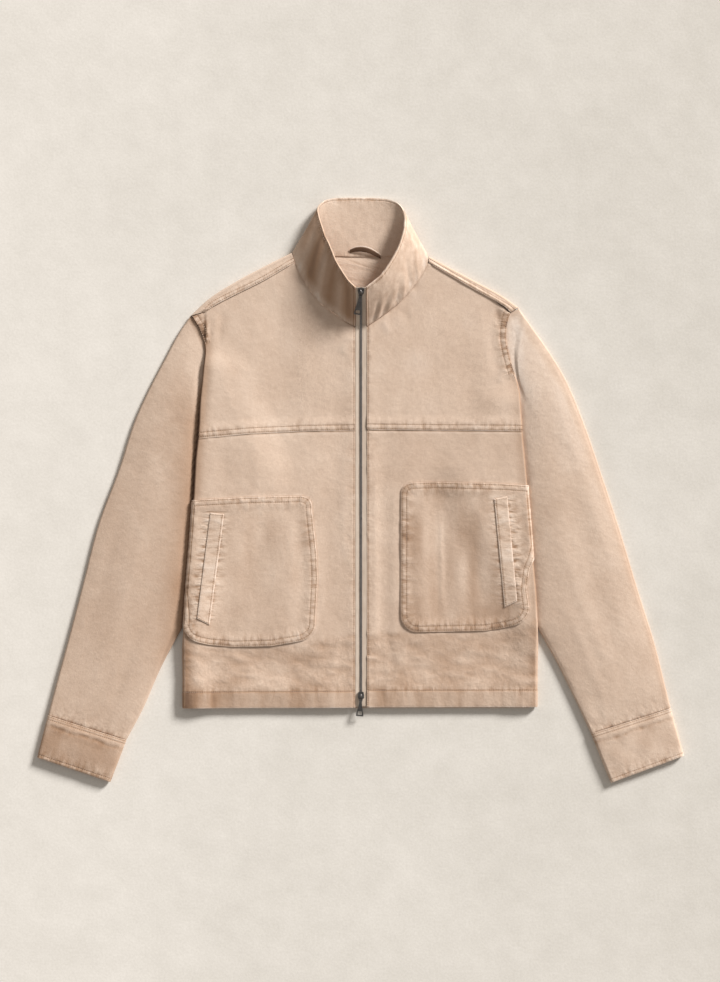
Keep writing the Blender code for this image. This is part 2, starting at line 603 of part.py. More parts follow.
def back_grids():
    """The flat back, and the strips that roll forward over the shoulders."""
    radius = FRONT_TOP / 2
    top, strips = [], []
    for side in (LEFT, RIGHT):
        edge, seam, inward = strip_rows(side)
        start = edge + inward * radius
        line = np.concatenate([start, back_neck(side)])
        line = signed(side, line[:, 0], line[:, 1], 0.0)
        top.append(line if side is LEFT else line[::-1][1:])
        columns = [signed(side, start[:, 0], start[:, 1], 0.0)]
        for angle in STRIP_ROLL:
            at = start - inward * radius * math.sin(angle)
            columns.append(signed(side, at[:, 0], at[:, 1], radius * (1 - math.cos(angle))))
        for share in (0.5, 1.0):
            at = mix(start, seam, share)
            columns.append(signed(side, at[:, 0], at[:, 1], FRONT_TOP))
        strip = np.array(columns)
        strips.append(strip if side is LEFT else strip[:, ::-1])
    top = np.concatenate(top)

    (left, seam_rows), (right, _) = back_boundary(LEFT), back_boundary(RIGHT)
    left = signed(LEFT, left[:, 0], left[:, 1], 0.0)
    right = signed(RIGHT, right[:, 0], right[:, 1], 0.0)
    left[-1], right[-1] = top[0], top[-1]
    share = ((top[:, 0] - top[0, 0]) / (top[-1, 0] - top[0, 0]))[:, None]
    rows = []
    for i in range(len(left)):
        straight = mix(left[i], right[i], share)
        rise = smoothstep((i - seam_rows) / (len(left) - 1 - seam_rows))
        rows.append(straight + rise * (top - mix(left[-1], right[-1], share)))
    rows[-1] = top
    return [np.array(rows)] + strips


# ---------------------------------------------------------------- collar and hanger loop

COLLAR_ROWS = 5


def collar_rows():
    """Seam and rim points round the collar, from the zip's left to its right, with the bulge between."""
    left, right = np.array(LEFT_COLLAR), np.array(RIGHT_COLLAR)
    left[:, [0, 3]] *= -1
    return np.concatenate([left, right[::-1][1:]])


def collar_grid():
    rows = collar_rows()
    seam, rim, bulge = rows[:, 0:3], rows[:, 3:6], rows[:, 6]
    grid = []
    for i in range(COLLAR_ROWS + 1):
        share = i / COLLAR_ROWS
        at = mix(seam, rim, share)
        at[:, 2] = np.maximum(at[:, 2] + bulge * 4 * share * (1 - share), 0.0)
        grid.append(at)
    return np.array(grid)


# Columns: x, y, z of the hanger loop's middle line, on the collar's inner face.
HANGER = [(-17.2, 337.5, 3.4), (-13.0, 342.5, 4.6), (-4.0, 345.5, 6.0), (9.0, 345.5, 6.2), (20.0, 342.0, 5.0), (27.0, 337.5, 3.5)]
HANGER_WIDTH = 5.0
HANGER_WALL = 0.9


def hanger_grid():
    line = smooth_rows(HANGER, 9)
    return np.array([line + (0.0, offset, 0.0) for offset in (-HANGER_WIDTH / 2, 0.0, HANGER_WIDTH / 2)])


# ---------------------------------------------------------------- zip


def tape_on_collar(side, share):
    """A point (y, z) of the tape's face, a little below the collar's front edge, seam to rim."""
    row = side.collar[0]
    run, rise, bulge = row[4] - row[1], row[5] - row[2], row[6]
    lean = math.atan2(rise, run)
    y = row[1] + run * share + TAPE_DROP * math.sin(lean)
    return y, row[2] + rise * share + bulge * 4 * share * (1 - share) - TAPE_DROP * math.cos(lean)


def tape_grid(side):
    """Half of the zip's tape, up the front and the collar, a little below their outer faces."""
    hem_y = side.lines["hem"][0][1] + 1.5
    y = np.linspace(hem_y, side.collar[0][1] - 3.0, 12)
    z = front_height(side, ZIP_EDGE, y) - TAPE_DROP
    collar_y, collar_z = tape_on_collar(side, np.linspace(0.06, 1.0, 7))
    edge = np.concatenate([np.full(len(y), TAPE_EDGE), np.full(len(collar_y), COLLAR_TAPE_EDGE)])
    y, z = np.concatenate([y, collar_y]), np.concatenate([z, collar_z])
    return np.array([signed(side, SEAM_GAP / 2, y, z), signed(side, edge, y, z)])


Spot = namedtuple("Spot", "y z lean swing rest")
SLIDER_BACK = 6.5  # from the collar's rim down to the top slider's axis, along the slope


def top_spot():
    """Where the top slider sits: on the tape, near the collar's rim."""
    row = LEFT.collar[0]
    share = 1.0 - SLIDER_BACK / math.hypot(row[4] - row[1], row[5] - row[2])
    y, z = tape_on_collar(LEFT, share)
    above, below = tape_on_collar(LEFT, share + 0.05), tape_on_collar(LEFT, share - 0.05)
    lean = math.atan2(above[1] - below[1], above[0] - below[0])
    return Spot(y, z, lean, math.radians(8.5), math.radians(4.0))


def bottom_spot():
    """Where the bottom slider sits: on the tape, just above the hem."""
    y = -294.0
    return Spot(y, float(front_height(LEFT, ZIP_EDGE, y)) - TAPE_DROP, 0.0, math.radians(4.0), math.radians(6.5))


SLIDER_OUTLINE = [
    (-3.4, -4.0), (3.4, -4.0), (4.6, 1.0), (4.6, 4.6), (3.2, 6.2), (-3.2, 6.2), (-4.6, 4.6), (-4.6, 1.0),
]
SLIDER_ENDS = 2.2  # sum of the outline's lowest and highest y
SLIDER_LIFT = SEAM_GAP  # above the tape
SLIDER_THICK = 2.8
BRIDGE_REACH, BRIDGE_RISE, BRIDGE_RADIUS = 3.2, 3.0, 0.7
AXIS_RISE = 1.2  # of the pull's axis above the slider's top
PULL_THICK = 1.2
EYE_BAR = 0.65  # half the width of the bar that the pull turns on
EYE_HALF, EYE_REACH = 1.6, 4.8


def plate(name, outlines, thick, edge, material, collection):
    """A flat plate with rounded edges from outlines, the first its rim and the rest its holes."""
    curve = bpy.data.curves.new(name, "CURVE")
    curve.dimensions = "2D"
    curve.fill_mode = "BOTH"
    curve.extrude = (thick / 2 - edge) * MM
    curve.bevel_depth = edge * MM
    curve.bevel_resolution = 1
    curve.offset = -edge * MM
    for outline in outlines:
        spline = curve.splines.new("POLY")
        spline.points.add(len(outline) - 1)
        for point, (x, y) in zip(spline.points, outline):
            point.co = (x * MM, y * MM, 0.0, 1.0)
        spline.use_cyclic_u = True
    curve.materials.append(material)
    obj = bpy.data.objects.new(name, curve)
    collection.objects.link(obj)
    return obj


def wire(name, points, radius, material, collection):
    """A round wire through points, with closed ends."""
    curve = bpy.data.curves.new(name, "CURVE")
    curve.dimensions = "3D"
    curve.bevel_depth = radius * MM
    curve.bevel_resolution = 2
    curve.use_fill_caps = True
    spline = curve.splines.new("POLY")
    spline.points.add(len(points) - 1)
    for point, place in zip(spline.points, points):
        point.co = (*(value * MM for value in place), 1.0)
    curve.materials.append(material)
    obj = bpy.data.objects.new(name, curve)
    collection.objects.link(obj)
    return obj


def as_mesh(obj, collection):
    """The object's evaluated shape as a welded mesh object in its place."""
    bpy.context.view_layer.update()
    mesh = bpy.data.meshes.new_from_object(obj.evaluated_get(bpy.context.evaluated_depsgraph_get()))
    weld = bmesh.new()
    weld.from_mesh(mesh)
    bmesh.ops.remove_doubles(weld, verts=weld.verts, dist=1e-6)
    bmesh.ops.recalc_face_normals(weld, faces=weld.faces)
    weld.to_mesh(mesh)
    weld.free()
    name, matrix = obj.name, obj.matrix_world.copy()
    bpy.data.objects.remove(obj, do_unlink=True)
    made = bpy.data.objects.new(name, mesh)
    made.matrix_world = matrix
    collection.objects.link(made)
    return made


def rounded(corners, radius, steps=3):
    """An outline's corners with arcs in place of its points."""
    points = []
    for i, corner in enumerate(corners):
        here = Vector(corner)
        before = (Vector(corners[i - 1]) - here).normalized()
        after = (Vector(corners[(i + 1) % len(corners)]) - here).normalized()
        for k in range(steps + 1):
            t = k / steps
            a, b = here + before * radius, here + after * radius
            points.append(tuple(a * (1 - t) ** 2 + here * 2 * t * (1 - t) + b * t**2))
    return points


def slider_frame(spot):
    """The slider's own frame on the tape: its Y up the zip, its Z out of the cloth."""
    return Matrix.Translation((0.0, spot.y * MM, spot.z * MM)) @ Matrix.Rotation(spot.lean, 4, "X")


def make_slider(name, spot, wide_end_up):
    """A slider's body with the bridge that holds its pull."""
    outline = SLIDER_OUTLINE
    if not wide_end_up:
        outline = [(x, SLIDER_ENDS - y) for x, y in outline][::-1]
    body = as_mesh(plate(name, [rounded(outline, 0.8)], SLIDER_THICK, 0.5, METAL, JACKET), JACKET)
    frame = slider_frame(spot)
    body.matrix_world = frame @ Matrix.Translation((0.0, 0.0, (SLIDER_LIFT + SLIDER_THICK / 2) * MM))
    body.data.shade_smooth()
    body.data.set_sharp_from_angle(angle=math.radians(40.0))
    top = SLIDER_LIFT + SLIDER_THICK
    arch = [
        (0.0, BRIDGE_REACH * math.cos(a), top - 0.6 + (BRIDGE_RISE + 0.6) * math.sin(a))
        for a in np.linspace(0.0, math.pi, 9)
    ]
    bridge = as_mesh(wire(name + "_bridge", arch, BRIDGE_RADIUS, METAL, GUIDES), GUIDES)
    bridge.matrix_world = frame
    bridge.hide_render = True
    bridge.display_type = "WIRE"
    union = body.modifiers.new("bridge", "BOOLEAN")
    union.operation = "UNION"
    union.object = bridge
    return body


def pull_frame(spot):
    """The pull's frame: its origin on its axis, which is its X, and the tab along -Y."""
    rise = SLIDER_LIFT + SLIDER_THICK + AXIS_RISE
    return (
        slider_frame(spot)
        @ Matrix.Translation((0.0, 0.0, rise * MM))
        @ Matrix.Rotation(-spot.swing, 4, "Z")
        @ Matrix.Rotation(spot.rest, 4, "X")
    )


def make_pull(name, spot, length):
    """A pull tab: an eye round the bridge, a neck, and a bell-shaped grip with a hole."""
    eye_end, neck, waist, grip = -EYE_REACH - 1.2, 1.9, -EYE_REACH - 3.4, 5.2
    rim = [
        (2.7, EYE_BAR), (-2.7, EYE_BAR), (-2.7, eye_end + 0.6), (-neck, waist),
        (-neck - 0.6, waist - 6.0), (-grip, -length + 3.0), (-grip, -length), (grip, -length),
        (grip, -length + 3.0), (neck + 0.6, waist - 6.0), (neck, waist), (2.7, eye_end + 0.6),
    ]
    eye = [(-EYE_HALF, -EYE_BAR), (EYE_HALF, -EYE_BAR), (EYE_HALF, -EYE_REACH), (-EYE_HALF, -EYE_REACH)]
    hole = [(-2.9, -length + 7.2), (2.9, -length + 7.2), (3.1, -length + 2.0), (-3.1, -length + 2.0)]
    outlines = [rounded(rim, 0.7, 2), rounded(eye, 0.4, 2), rounded(hole, 0.9, 2)]
    pull = as_mesh(plate(name, outlines, PULL_THICK, 0.25, METAL, JACKET), JACKET)
    pull.matrix_world = pull_frame(spot)
    pull.data.shade_smooth()
    pull.data.set_sharp_from_angle(angle=math.radians(40.0))
    return pull


# ---------------------------------------------------------------- the jacket


def make_jacket():
    make_cloth("back", back_grids(), WALL, CANVAS, flip=True)
    for side in (LEFT, RIGHT):
        on_right = side.sign > 0
        front = front_grid(side)
        patch = patch_grid(side, front)
        make_cloth("chest_" + side.name, [chest_grid(side)], WALL, CANVAS, on_right)
        make_cloth("front_" + side.name, [front], WALL, CANVAS, on_right)
        make_cloth("pocket_" + side.name, [patch], POCKET_WALL, CANVAS, on_right)
        make_cloth("welt_" + side.name, [welt_grid(side, patch)], WELT_WALL, CANVAS, on_right)
        make_cloth("sleeve_" + side.name, [sleeve_grid(side)], WALL, CANVAS, not on_right, closed=True)
        make_cloth("cuff_" + side.name, [cuff_grid(side)], DOUBLE_WALL, CANVAS, not on_right, closed=True)
        make_cloth("zip_tape_" + side.name, [tape_grid(side)], TAPE_WALL, TAPE, on_right)
    make_cloth("collar", [collar_grid()], DOUBLE_WALL, CANVAS, flip=True)
    make_cloth("hanger_loop", [hanger_grid()], HANGER_WALL, CANVAS, flip=False)
    make_slider("zip_slider_top", top_spot(), wide_end_up=True)
    make_slider("zip_slider_bottom", bottom_spot(), wide_end_up=False)
    make_pull("zip_pull_top", top_spot(), TOP_PULL)
    make_pull("zip_pull_bottom", bottom_spot(), BOTTOM_PULL)


clear_scene()
JACKET = make_collection(COLLECTION_NAME)
GUIDES = make_collection(GUIDES_NAME)
CANVAS = make_material("washed_canvas", (0.62, 0.46, 0.34), 0.9)
TAPE = make_material("cream_tape", (0.72, 0.60, 0.50), 0.85)
METAL = make_material("dark_metal", (0.10, 0.09, 0.09), 0.35, 1.0)
make_jacket()
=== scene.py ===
"""A harrington jacket of washed cotton canvas, zipped to the top of its funnel collar and laid flat.

Lengths and tables are in millimetres and become metres when a mesh is made. X runs across the jacket,
Y from hem to collar, and Z up from the surface that it lies on. The zip's centre line is at X = 0.
"out" is the distance from it towards one side, and left and right are as seen from above, with the
collar away from the viewer.
"""

import math
from collections import namedtuple

import bpy
import numpy as np
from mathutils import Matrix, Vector
from mathutils.bvhtree import BVHTree


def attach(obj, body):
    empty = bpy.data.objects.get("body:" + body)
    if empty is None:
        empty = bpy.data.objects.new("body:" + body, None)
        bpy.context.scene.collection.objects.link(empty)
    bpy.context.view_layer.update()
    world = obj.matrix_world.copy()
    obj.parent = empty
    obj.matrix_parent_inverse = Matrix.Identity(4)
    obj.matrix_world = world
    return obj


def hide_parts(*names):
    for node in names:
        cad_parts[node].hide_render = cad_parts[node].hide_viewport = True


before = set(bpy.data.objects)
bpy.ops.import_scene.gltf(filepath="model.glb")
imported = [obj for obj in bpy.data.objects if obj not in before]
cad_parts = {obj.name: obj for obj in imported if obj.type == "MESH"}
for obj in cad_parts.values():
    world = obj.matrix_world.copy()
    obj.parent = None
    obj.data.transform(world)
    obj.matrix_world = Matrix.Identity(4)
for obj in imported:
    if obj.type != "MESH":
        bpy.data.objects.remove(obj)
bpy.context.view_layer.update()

MM = 0.001
BODY = "jacket"

# ---------------------------------------------------------------- sizes of the cloth

CANVAS_THICK, COLLAR_THICK, CUFF_THICK, POCKET_THICK, WELT_THICK = 1.15, 2.1, 1.9, 1.05, 0.7
TAPE_THICK, HANGER_THICK = 0.8, 0.9
EDGE_ROUND = 0.42  # radius of a cloth edge
SEAM_GAP = 0.3
TUCK = 3.2  # how far a piece runs under the one that is sewn over it
NECK_LAP = 2.0  # how far the back runs under the collar

FRONT_TOP = 7.0  # height of a front's outer face
SLEEVE_UNDER = 5.0  # height of the sleeve where the body lies on it
FOLD_STACK = 5.6  # what a front and its turned-under side add on top of the sleeve
SLEEVE_MARGIN = 1.0  # how far beside the sleeve's edge the cloth on it starts to rise
TIGHT_REACH, LEAST_REACH, DRAPE_REACH = 20.0, 4.0, 60.0  # how gently it rises, below and on the face
FOLD_FADE = 40.0  # how far below the top of the side fold the face has risen
LEAST_ROLL, LEAST_RUN = 2.2, 1.0  # least radius of the side fold, least width of what is turned under
HEM_RISE = 1.6  # how much the cloth swells above the hem's stitching
ZIP_EDGE, TAPE_EDGE, COLLAR_TAPE_EDGE = 8.3, 8.0, 7.2  # from the zip's centre line
TAPE_DROP = 0.45  # how far the tape lies below the fronts' face
POCKET_LIFT = SEAM_GAP + POCKET_THICK
WELT_LIFT = POCKET_LIFT + SEAM_GAP + WELT_THICK
WELT_ROW, COLLAR_ROW = 2.6, 2.4  # a row of stitches, from the welt's inner and the collar's front edge

# ---------------------------------------------------------------- outline tables

# Columns: y, out. The body's side fold, from the armhole seam to the hem.
LEFT_FOLD = [
    (208.8, 223.7), (167.3, 225.9), (127.3, 229.8), (77.2, 232.4), (44.3, 236),
    (-8.6, 238.8), (-103, 246), (-174.5, 251.7), (-226, 255.3), (-311.7, 254.5),
]
RIGHT_FOLD = [
    (161.6, 220.9), (147.3, 225.1), (117.3, 228.1), (84.4, 230.2), (44.3, 234.1),
    (15.7, 236.7), (-78.7, 243.8), (-150.2, 250.3), (-221.7, 253.1), (-310.3, 251.7),
]
# Columns: y, out. The armhole seam, from the shoulder to the underarm.
LEFT_ARMHOLE = [
    (248.8, 243.1), (233.1, 233.1), (208.8, 223.7), (147.3, 198.8), (75.8, 168.7), (32.9, 150.2),
]
RIGHT_ARMHOLE = [
    (260.3, 224.5), (253.5, 213.9), (236, 208.8), (220.2, 207.4), (195.9, 211.1),
    (174.5, 216.8), (161.6, 220.9), (114.4, 205.9), (64.4, 177.3), (32.9, 150.2),
]
# Columns: y, out. The side seam, on the back.
SIDE_SEAM = [
    (32.9, 150.2), (-14, 149), (-79, 166), (-157, 194.5), (-243, 223), (-311.7, 241),
]
# Columns: out, y. The neckline of a front, from the zip to the shoulder seam.
LEFT_NECK = [(8.3, 233.1), (22.9, 240.2), (40, 253.1), (57.2, 265.3), (71.5, 281.7), (86.7, 304.6), (94.9, 324.4)]
RIGHT_NECK = [(8.3, 233.1), (30, 247.4), (51.5, 263.8), (66.6, 278.9), (76.5, 291), (86.5, 306), (96.3, 324.5)]
# Columns: out, y. The forward shoulder seam.
LEFT_SHOULDER = [(94.9, 324.4), (138.7, 298.9), (178.8, 278.9), (208.8, 263.1), (220.6, 255.1), (242.6, 248.4)]
RIGHT_SHOULDER = [(96.3, 324.5), (124.4, 307.5), (164.5, 284.6), (204.5, 261.7), (213.7, 253.2)]
# Columns: out, y of the outer edge, out, y of the seam. The back's strip over the shoulder.
LEFT_STRIP = [
    (243.1, 248.8, 220.6, 255.1), (218.8, 271.7, 208.8, 263.1), (178.8, 297.4, 178.8, 278.9),
    (138.7, 318.9, 138.7, 298.9), (99.2, 338.7, 94.9, 324.4),
]
RIGHT_STRIP = [
    (224.5, 260.8, 213.9, 253.5), (204.5, 275.3, 204.5, 261.7), (164.5, 297.4, 164.5, 284.6),
    (124.4, 318.9, 124.4, 307.5), (97.2, 333.5, 96.3, 324.5),
]
# Columns: outer out, y, inner out, y, height, crown, reach of the crown from the outer edge.
LEFT_SLEEVE = [
    (243.1, 248.8, 150.2, 32.9, 5, 0, 0.30),
    (258.8, 225.9, 150.9, 28.6, 5, 1.6, 0.25),
    (278.9, 188.8, 152.3, 22.9, 5, 3, 0.34),
    (297.9, 153, 154.4, 14.3, 5, 4.2, 0.39),
    (321.8, 101.5, 160.2, 0, 5, 5, 0.49),
    (345.3, 30, 173, -31.5, 5, 5.6, 0.58),
    (373.8, -45.8, 200.2, -84.4, 5, 5.8, 0.69),
    (397.5, -135.9, 240.2, -168.7, 5, 5.4, 0.86),
    (421.3, -225.9, 288.1, -258.8, 5.8, 4.2, 1),
    (434.7, -274.6, 311, -311.7, 6.6, 2.6, 1),
    (446.9, -321, 334.8, -356.4, 7, 0.8, 1),
]
RIGHT_SLEEVE = [
    (224.5, 260.3, 150.2, 32.9, 5, 0, 0.30),
    (241.7, 236, 150.9, 28.6, 5, 1.6, 0.24),
    (263.1, 205.9, 152.3, 22.9, 5, 3, 0.29),
    (287.4, 167.3, 154.4, 14.3, 5, 4.2, 0.38),
    (318.9, 94.4, 160.2, 0, 5, 5, 0.48),
    (341, 30, 173, -31.5, 5, 5.6, 0.56),
    (366.1, -45.8, 200.2, -84.4, 5, 5.8, 0.68),
    (393.3, -135.9, 238.1, -170.2, 5, 5.4, 0.86),
    (420.4, -223, 283.1, -253.1, 5.8, 4.2, 1),
    (433.3, -274.6, 311.7, -311.7, 6.6, 2.6, 1),
    (442.2, -310.6, 328.2, -347.1, 7, 0.8, 1),
]
# Columns: outer out, y, inner out, y, height, crown, reach of the crown.
LEFT_CUFF = [
    (447, -321.4, 334.9, -356.8, 8.2, 0.6, 1), (454.9, -351.6, 346.2, -386.9, 8.4, 1.4, 1),
    (462.5, -381.8, 357.8, -416.9, 7.8, 0.6, 1),
]
RIGHT_CUFF = [
    (442.3, -311, 328.3, -347.5, 8.2, 0.6, 1), (451.9, -345.2, 342.4, -382.8, 8.4, 1.4, 1),
    (461.2, -379.4, 356.8, -418, 7.8, 0.6, 1),
]
# Columns: seam out, y, z, rim out, y, z, bulge. The collar, from the zip round to its centre back.
LEFT_COLLAR = [
    (8.3, 233.5, 7, 8.3, 286, 42, 2),
    (22.9, 240.6, 7, 17.2, 294.9, 42, 2.5),
    (40, 253.5, 7, 28.2, 310.5, 41, 3),
    (57.2, 265.8, 7, 36.8, 326, 39.5, 3),
    (71.2, 282.3, 7, 44.8, 346.1, 36, 3),
    (86.2, 305.2, 7, 51.8, 362.2, 31.5, 3),
    (93.9, 324.7, 7, 58.2, 381.5, 25.5, 2),
    (97.2, 335.6, 7, 60.2, 388.5, 22.5, 1.4),
    (97.9, 338, 6, 61.1, 392.8, 20.8, 1),
    (98, 339.6, 3.5, 61.8, 396.5, 19, 0.5),
    (97.6, 339.1, 1, 61.9, 399.3, 16.8, 0.2),
    (96.6, 338, 0, 61.5, 402.2, 14.6, 0),
    (90.1, 341.6, 0, 60.1, 405.4, 12, 0),
    (71.5, 337.3, 0, 54.3, 411.8, 7, 0),
    (47.2, 334.8, 0, 42.2, 416.4, 2.6, 0),
    (22.9, 333.7, 0, 21.5, 417.6, 0.3, 0),
    (0, 333.3, 0, 0, 417.6, 0, 0),
]
RIGHT_COLLAR = [
    (8.3, 233.5, 7, 8.3, 286, 42, 2),
    (30, 247.9, 7, 19.7, 295, 42, 2.5),
    (51.2, 264.3, 7, 32.3, 307.7, 41, 3),
    (66.2, 279.5, 7, 43.5, 324.6, 39, 3),
    (76.1, 291.6, 7, 51.3, 339.1, 36, 3),
    (86, 306.6, 7, 58.2, 357.9, 31.5, 3),
    (95.3, 324.7, 7, 62.1, 374.2, 26.5, 2),
    (95.9, 330.2, 7, 62.8, 381, 23.2, 1.4),
    (96.1, 332.6, 6, 63.1, 385, 21.4, 1),
    (96.1, 334.8, 3.5, 63.2, 388.5, 19.5, 0.5),
    (95.9, 334.5, 1, 62.9, 392.2, 17.4, 0.2),
    (95.7, 334, 0, 62.3, 395.8, 15.2, 0),
    (89.4, 339.2, 0, 61.1, 399.7, 12.5, 0),
    (71.5, 335.6, 0, 54.8, 407.6, 7.5, 0),
    (47.2, 333.9, 0, 42.2, 414.3, 3, 0),
    (22.9, 333.4, 0, 21.5, 417.1, 0.4, 0),
    (0, 333.3, 0, 0, 417.6, 0, 0),
]
# Columns: out, y. Lines across a front.
LEFT_LINES = {
    "yoke": [(8, 84.7), (79, 83.7), (159, 80.1), (240, 72.9)],
    "patch_top": [(8, -7.5), (88, -8.6), (160, -10), (240, -14.4)],
    "patch_bottom": [(8, -206), (64, -212), (127, -222.6), (182, -224.1), (216, -220.9), (254, -212)],
    "stitching": [(8, -287.5), (254, -288.1)],
    "hem": [(8, -311), (254, -311.7)],
}
RIGHT_LINES = {
    "yoke": [(8, 85.8), (124, 84.7), (240, 83.7)],
    "patch_top": [(8, 10.5), (57, 10), (109, 11.4), (199, 9), (240, 6.4)],
    "patch_bottom": [(8, -200), (76, -203), (177, -201), (198, -197.9), (225, -191.6), (254, -180)],
    "stitching": [(8, -286), (254, -285.3)],
    "hem": [(8, -310.4), (254, -309.9)],
}
# Columns: y, out. The patch's inner edge.
LEFT_PATCH_EDGE = [(90, 72), (-31.5, 70), (-93, 63.5), (-133, 61.8), (-196, 65), (-312, 66)]
RIGHT_PATCH_EDGE = [(90, 57), (0, 56.8), (-160, 56.5), (-312, 58)]
# Columns: y, length along the cloth from the body's widest line in to the patch's outer edge.
LEFT_PATCH_REACH = [(0, -4.5), (-150, -3.5), (-188, 2), (-230, 4)]
RIGHT_PATCH_REACH = [(20, -4.5), (-86, -4.5), (-105, 1), (-122, 9.5), (-152, 16), (-200, 12)]
# The welt's corners as (out, y): top inner, top outer, bottom outer, bottom inner.
LEFT_WELT = [(195, -34.3), (214.6, -32.2), (233.5, -183.2), (215.6, -192.6)]
RIGHT_WELT = [(189.6, -12.7), (208.3, -9.1), (222.5, -158.5), (204.3, -167.5)]

Fold = namedtuple("Fold", "out_a y_a out_b y_b width depth")


def as_folds(*rows):
    """Ridges and troughs, from one end to the other, with their width and their depth."""
    return [Fold(*row) for row in rows]


LEFT_FOLDS = as_folds(
    (210, 240, 214, 190, 16, 1),
    (34, 190, 30, -280, 20, -0.8),
    (120, 260, 105, 100, 26, -0.8),
    (150, 60, 128, 10, 26, 0.9),
    (118, -40, 110, -190, 22, 0.9),
    (165, -235, 90, -270, 18, -0.9),
)
RIGHT_FOLDS = as_folds(
    (193, 250, 198, 185, 16, -1.2),
    (36, 70, 34, -280, 20, -1.1),
    (112, -15, 116, -190, 20, -1.2),
    (156, -20, 160, -185, 18, -0.8),
    (84, -20, 86, -180, 18, 0.9),
    (140, -225, 70, -262, 18, -0.9),
)
LEFT_CHEST_CREASES = as_folds(
    (26, 246, 40, 216, 5, -0.5), (46, 262, 62, 236, 6, 0.4),
    (14, 225, 30, 190, 8, 0.5), (196, 258, 204, 205, 6, -0.7),
    (170, 190, 150, 95, 16, 0.5), (60, 200, 66, 92, 15, -0.45),
    (219, 180, 222, 100, 5, -0.5), (212, 226, 219, 214, 3, -0.5),
)
RIGHT_CHEST_CREASES = as_folds(
    (30, 244, 42, 222, 5, 0.45), (56, 262, 70, 236, 6, -0.4),
    (193, 262, 199, 226, 4, -0.7), (199, 226, 204, 200, 4, -0.6),
    (206, 248, 215, 240, 3.2, -0.5), (150, 200, 166, 95, 15, -0.5),
    (84, 225, 78, 95, 17, 0.4), (203, 180, 196, 150, 6, 0.5),
)
LEFT_FRONT_CREASES = as_folds(
    (24, 70, 26, -120, 7, 0.45), (52, 40, 46, -200, 10, -0.5),
    (200, 62, 192, 4, 11, -0.4), (96, 70, 104, 4, 13, -0.4),
    (100, -236, 60, -262, 6, -0.5), (190, -232, 150, -258, 7, 0.5),
    (244, -232, 214, -252, 6, -0.4), (30, -210, 44, -270, 6, 0.5),
)
RIGHT_FRONT_CREASES = as_folds(
    (20, 60, 22, -270, 6, 0.55), (46, 50, 48, -250, 7, 0.5),
    (190, 66, 196, 22, 12, -0.4), (110, 74, 104, 22, 13, -0.35),
    (88, -214, 60, -246, 6, -0.55), (170, -216, 134, -244, 7, 0.5),
    (236, -206, 206, -236, 6, -0.45), (36, -200, 50, -270, 5, -0.5),
)
LEFT_POCKET_CREASES = as_folds(
    (104, -32, 98, -196, 10, 0.5), (140, -40, 146, -190, 12, -0.5),
    (172, -60, 178, -180, 9, 0.35), (84, -60, 82, -150, 8, -0.35),
    (192, -30, 168, -28, 4, 0.3),
)
RIGHT_POCKET_CREASES = as_folds(
    (100, -8, 104, -190, 8, -1.1), (126, -10, 128, -180, 8, -0.9),
    (113, -20, 115, -190, 6, 0.6), (170, -20, 176, -160, 8, -0.8),
    (70, -14, 74, -180, 7, -0.35), (210, -95, 232, -108, 3, -0.6),
    (222, -120, 234, -138, 3, -0.5),
)
# Broad shading and creases of the sleeves, with out as share across and y as share along.
LEFT_BANDS = as_folds(
    (0.13, 0.25, 0.16, 0.80, 0.05, -0.5), (0.34, 0.30, 0.42, 0.92, 0.08, 0.5),
    (0.62, 0.55, 0.70, 0.97, 0.06, -0.5), (0.20, 0.05, 0.30, 0.30, 0.06, -0.5),
)
RIGHT_BANDS = as_folds(
    (0.26, 0.30, 0.40, 0.85, 0.10, -0.8), (0.12, 0.10, 0.16, 0.60, 0.05, 0.4),
    (0.66, 0.60, 0.74, 0.97, 0.06, 0.5), (0.50, 0.40, 0.56, 0.90, 0.07, 0.4),
)
# Creases of the collar, with out as share round it, from the left of the zip to its right, and y as share up.
COLLAR_CREASES = as_folds(
    (0.020, 0.00, 0.040, 1.15, 0.012, -1.2), (0.060, 0.00, 0.075, 0.90, 0.014, 1.2),
    (0.095, 0.00, 0.120, 1.15, 0.014, -0.8), (0.140, 0.00, 0.175, 0.95, 0.016, 1.6),
    (0.185, 0.00, 0.235, 1.25, 0.018, -1.5), (0.240, 0.00, 0.270, 0.95, 0.016, 1.3),
    (0.310, 0.10, 0.330, 0.90, 0.016, -0.7), (0.982, 0.00, 0.950, 0.62, 0.0065, 1.1),
    (0.970, 0.00, 0.930, 0.55, 0.0075, -1.4), (0.955, 0.00, 0.905, 0.50, 0.008, 1.2),
    (0.938, 0.00, 0.885, 0.42, 0.008, -1.1), (0.905, 0.00, 0.860, 0.50, 0.010, 1),
    (0.875, 0.00, 0.835, 0.45, 0.010, -1), (0.835, 0.05, 0.795, 0.80, 0.014, 1),
    (0.790, 0.00, 0.755, 0.55, 0.010, -0.9), (0.745, 0.00, 0.715, 0.90, 0.014, 0.9),
    (0.700, 0.00, 0.675, 0.70, 0.012, -0.8),
)
# Columns: x, y, z, width. The hanger loop's middle line.
HANGER = [
    (-16, 341.4, 3.4, 5.4), (-9, 343.6, 4.8, 7.2), (0, 344.2, 6, 8.2), (10, 342.4, 6.2, 8.6),
    (20, 338, 5, 8), (28, 333.4, 3.6, 6.4),
]

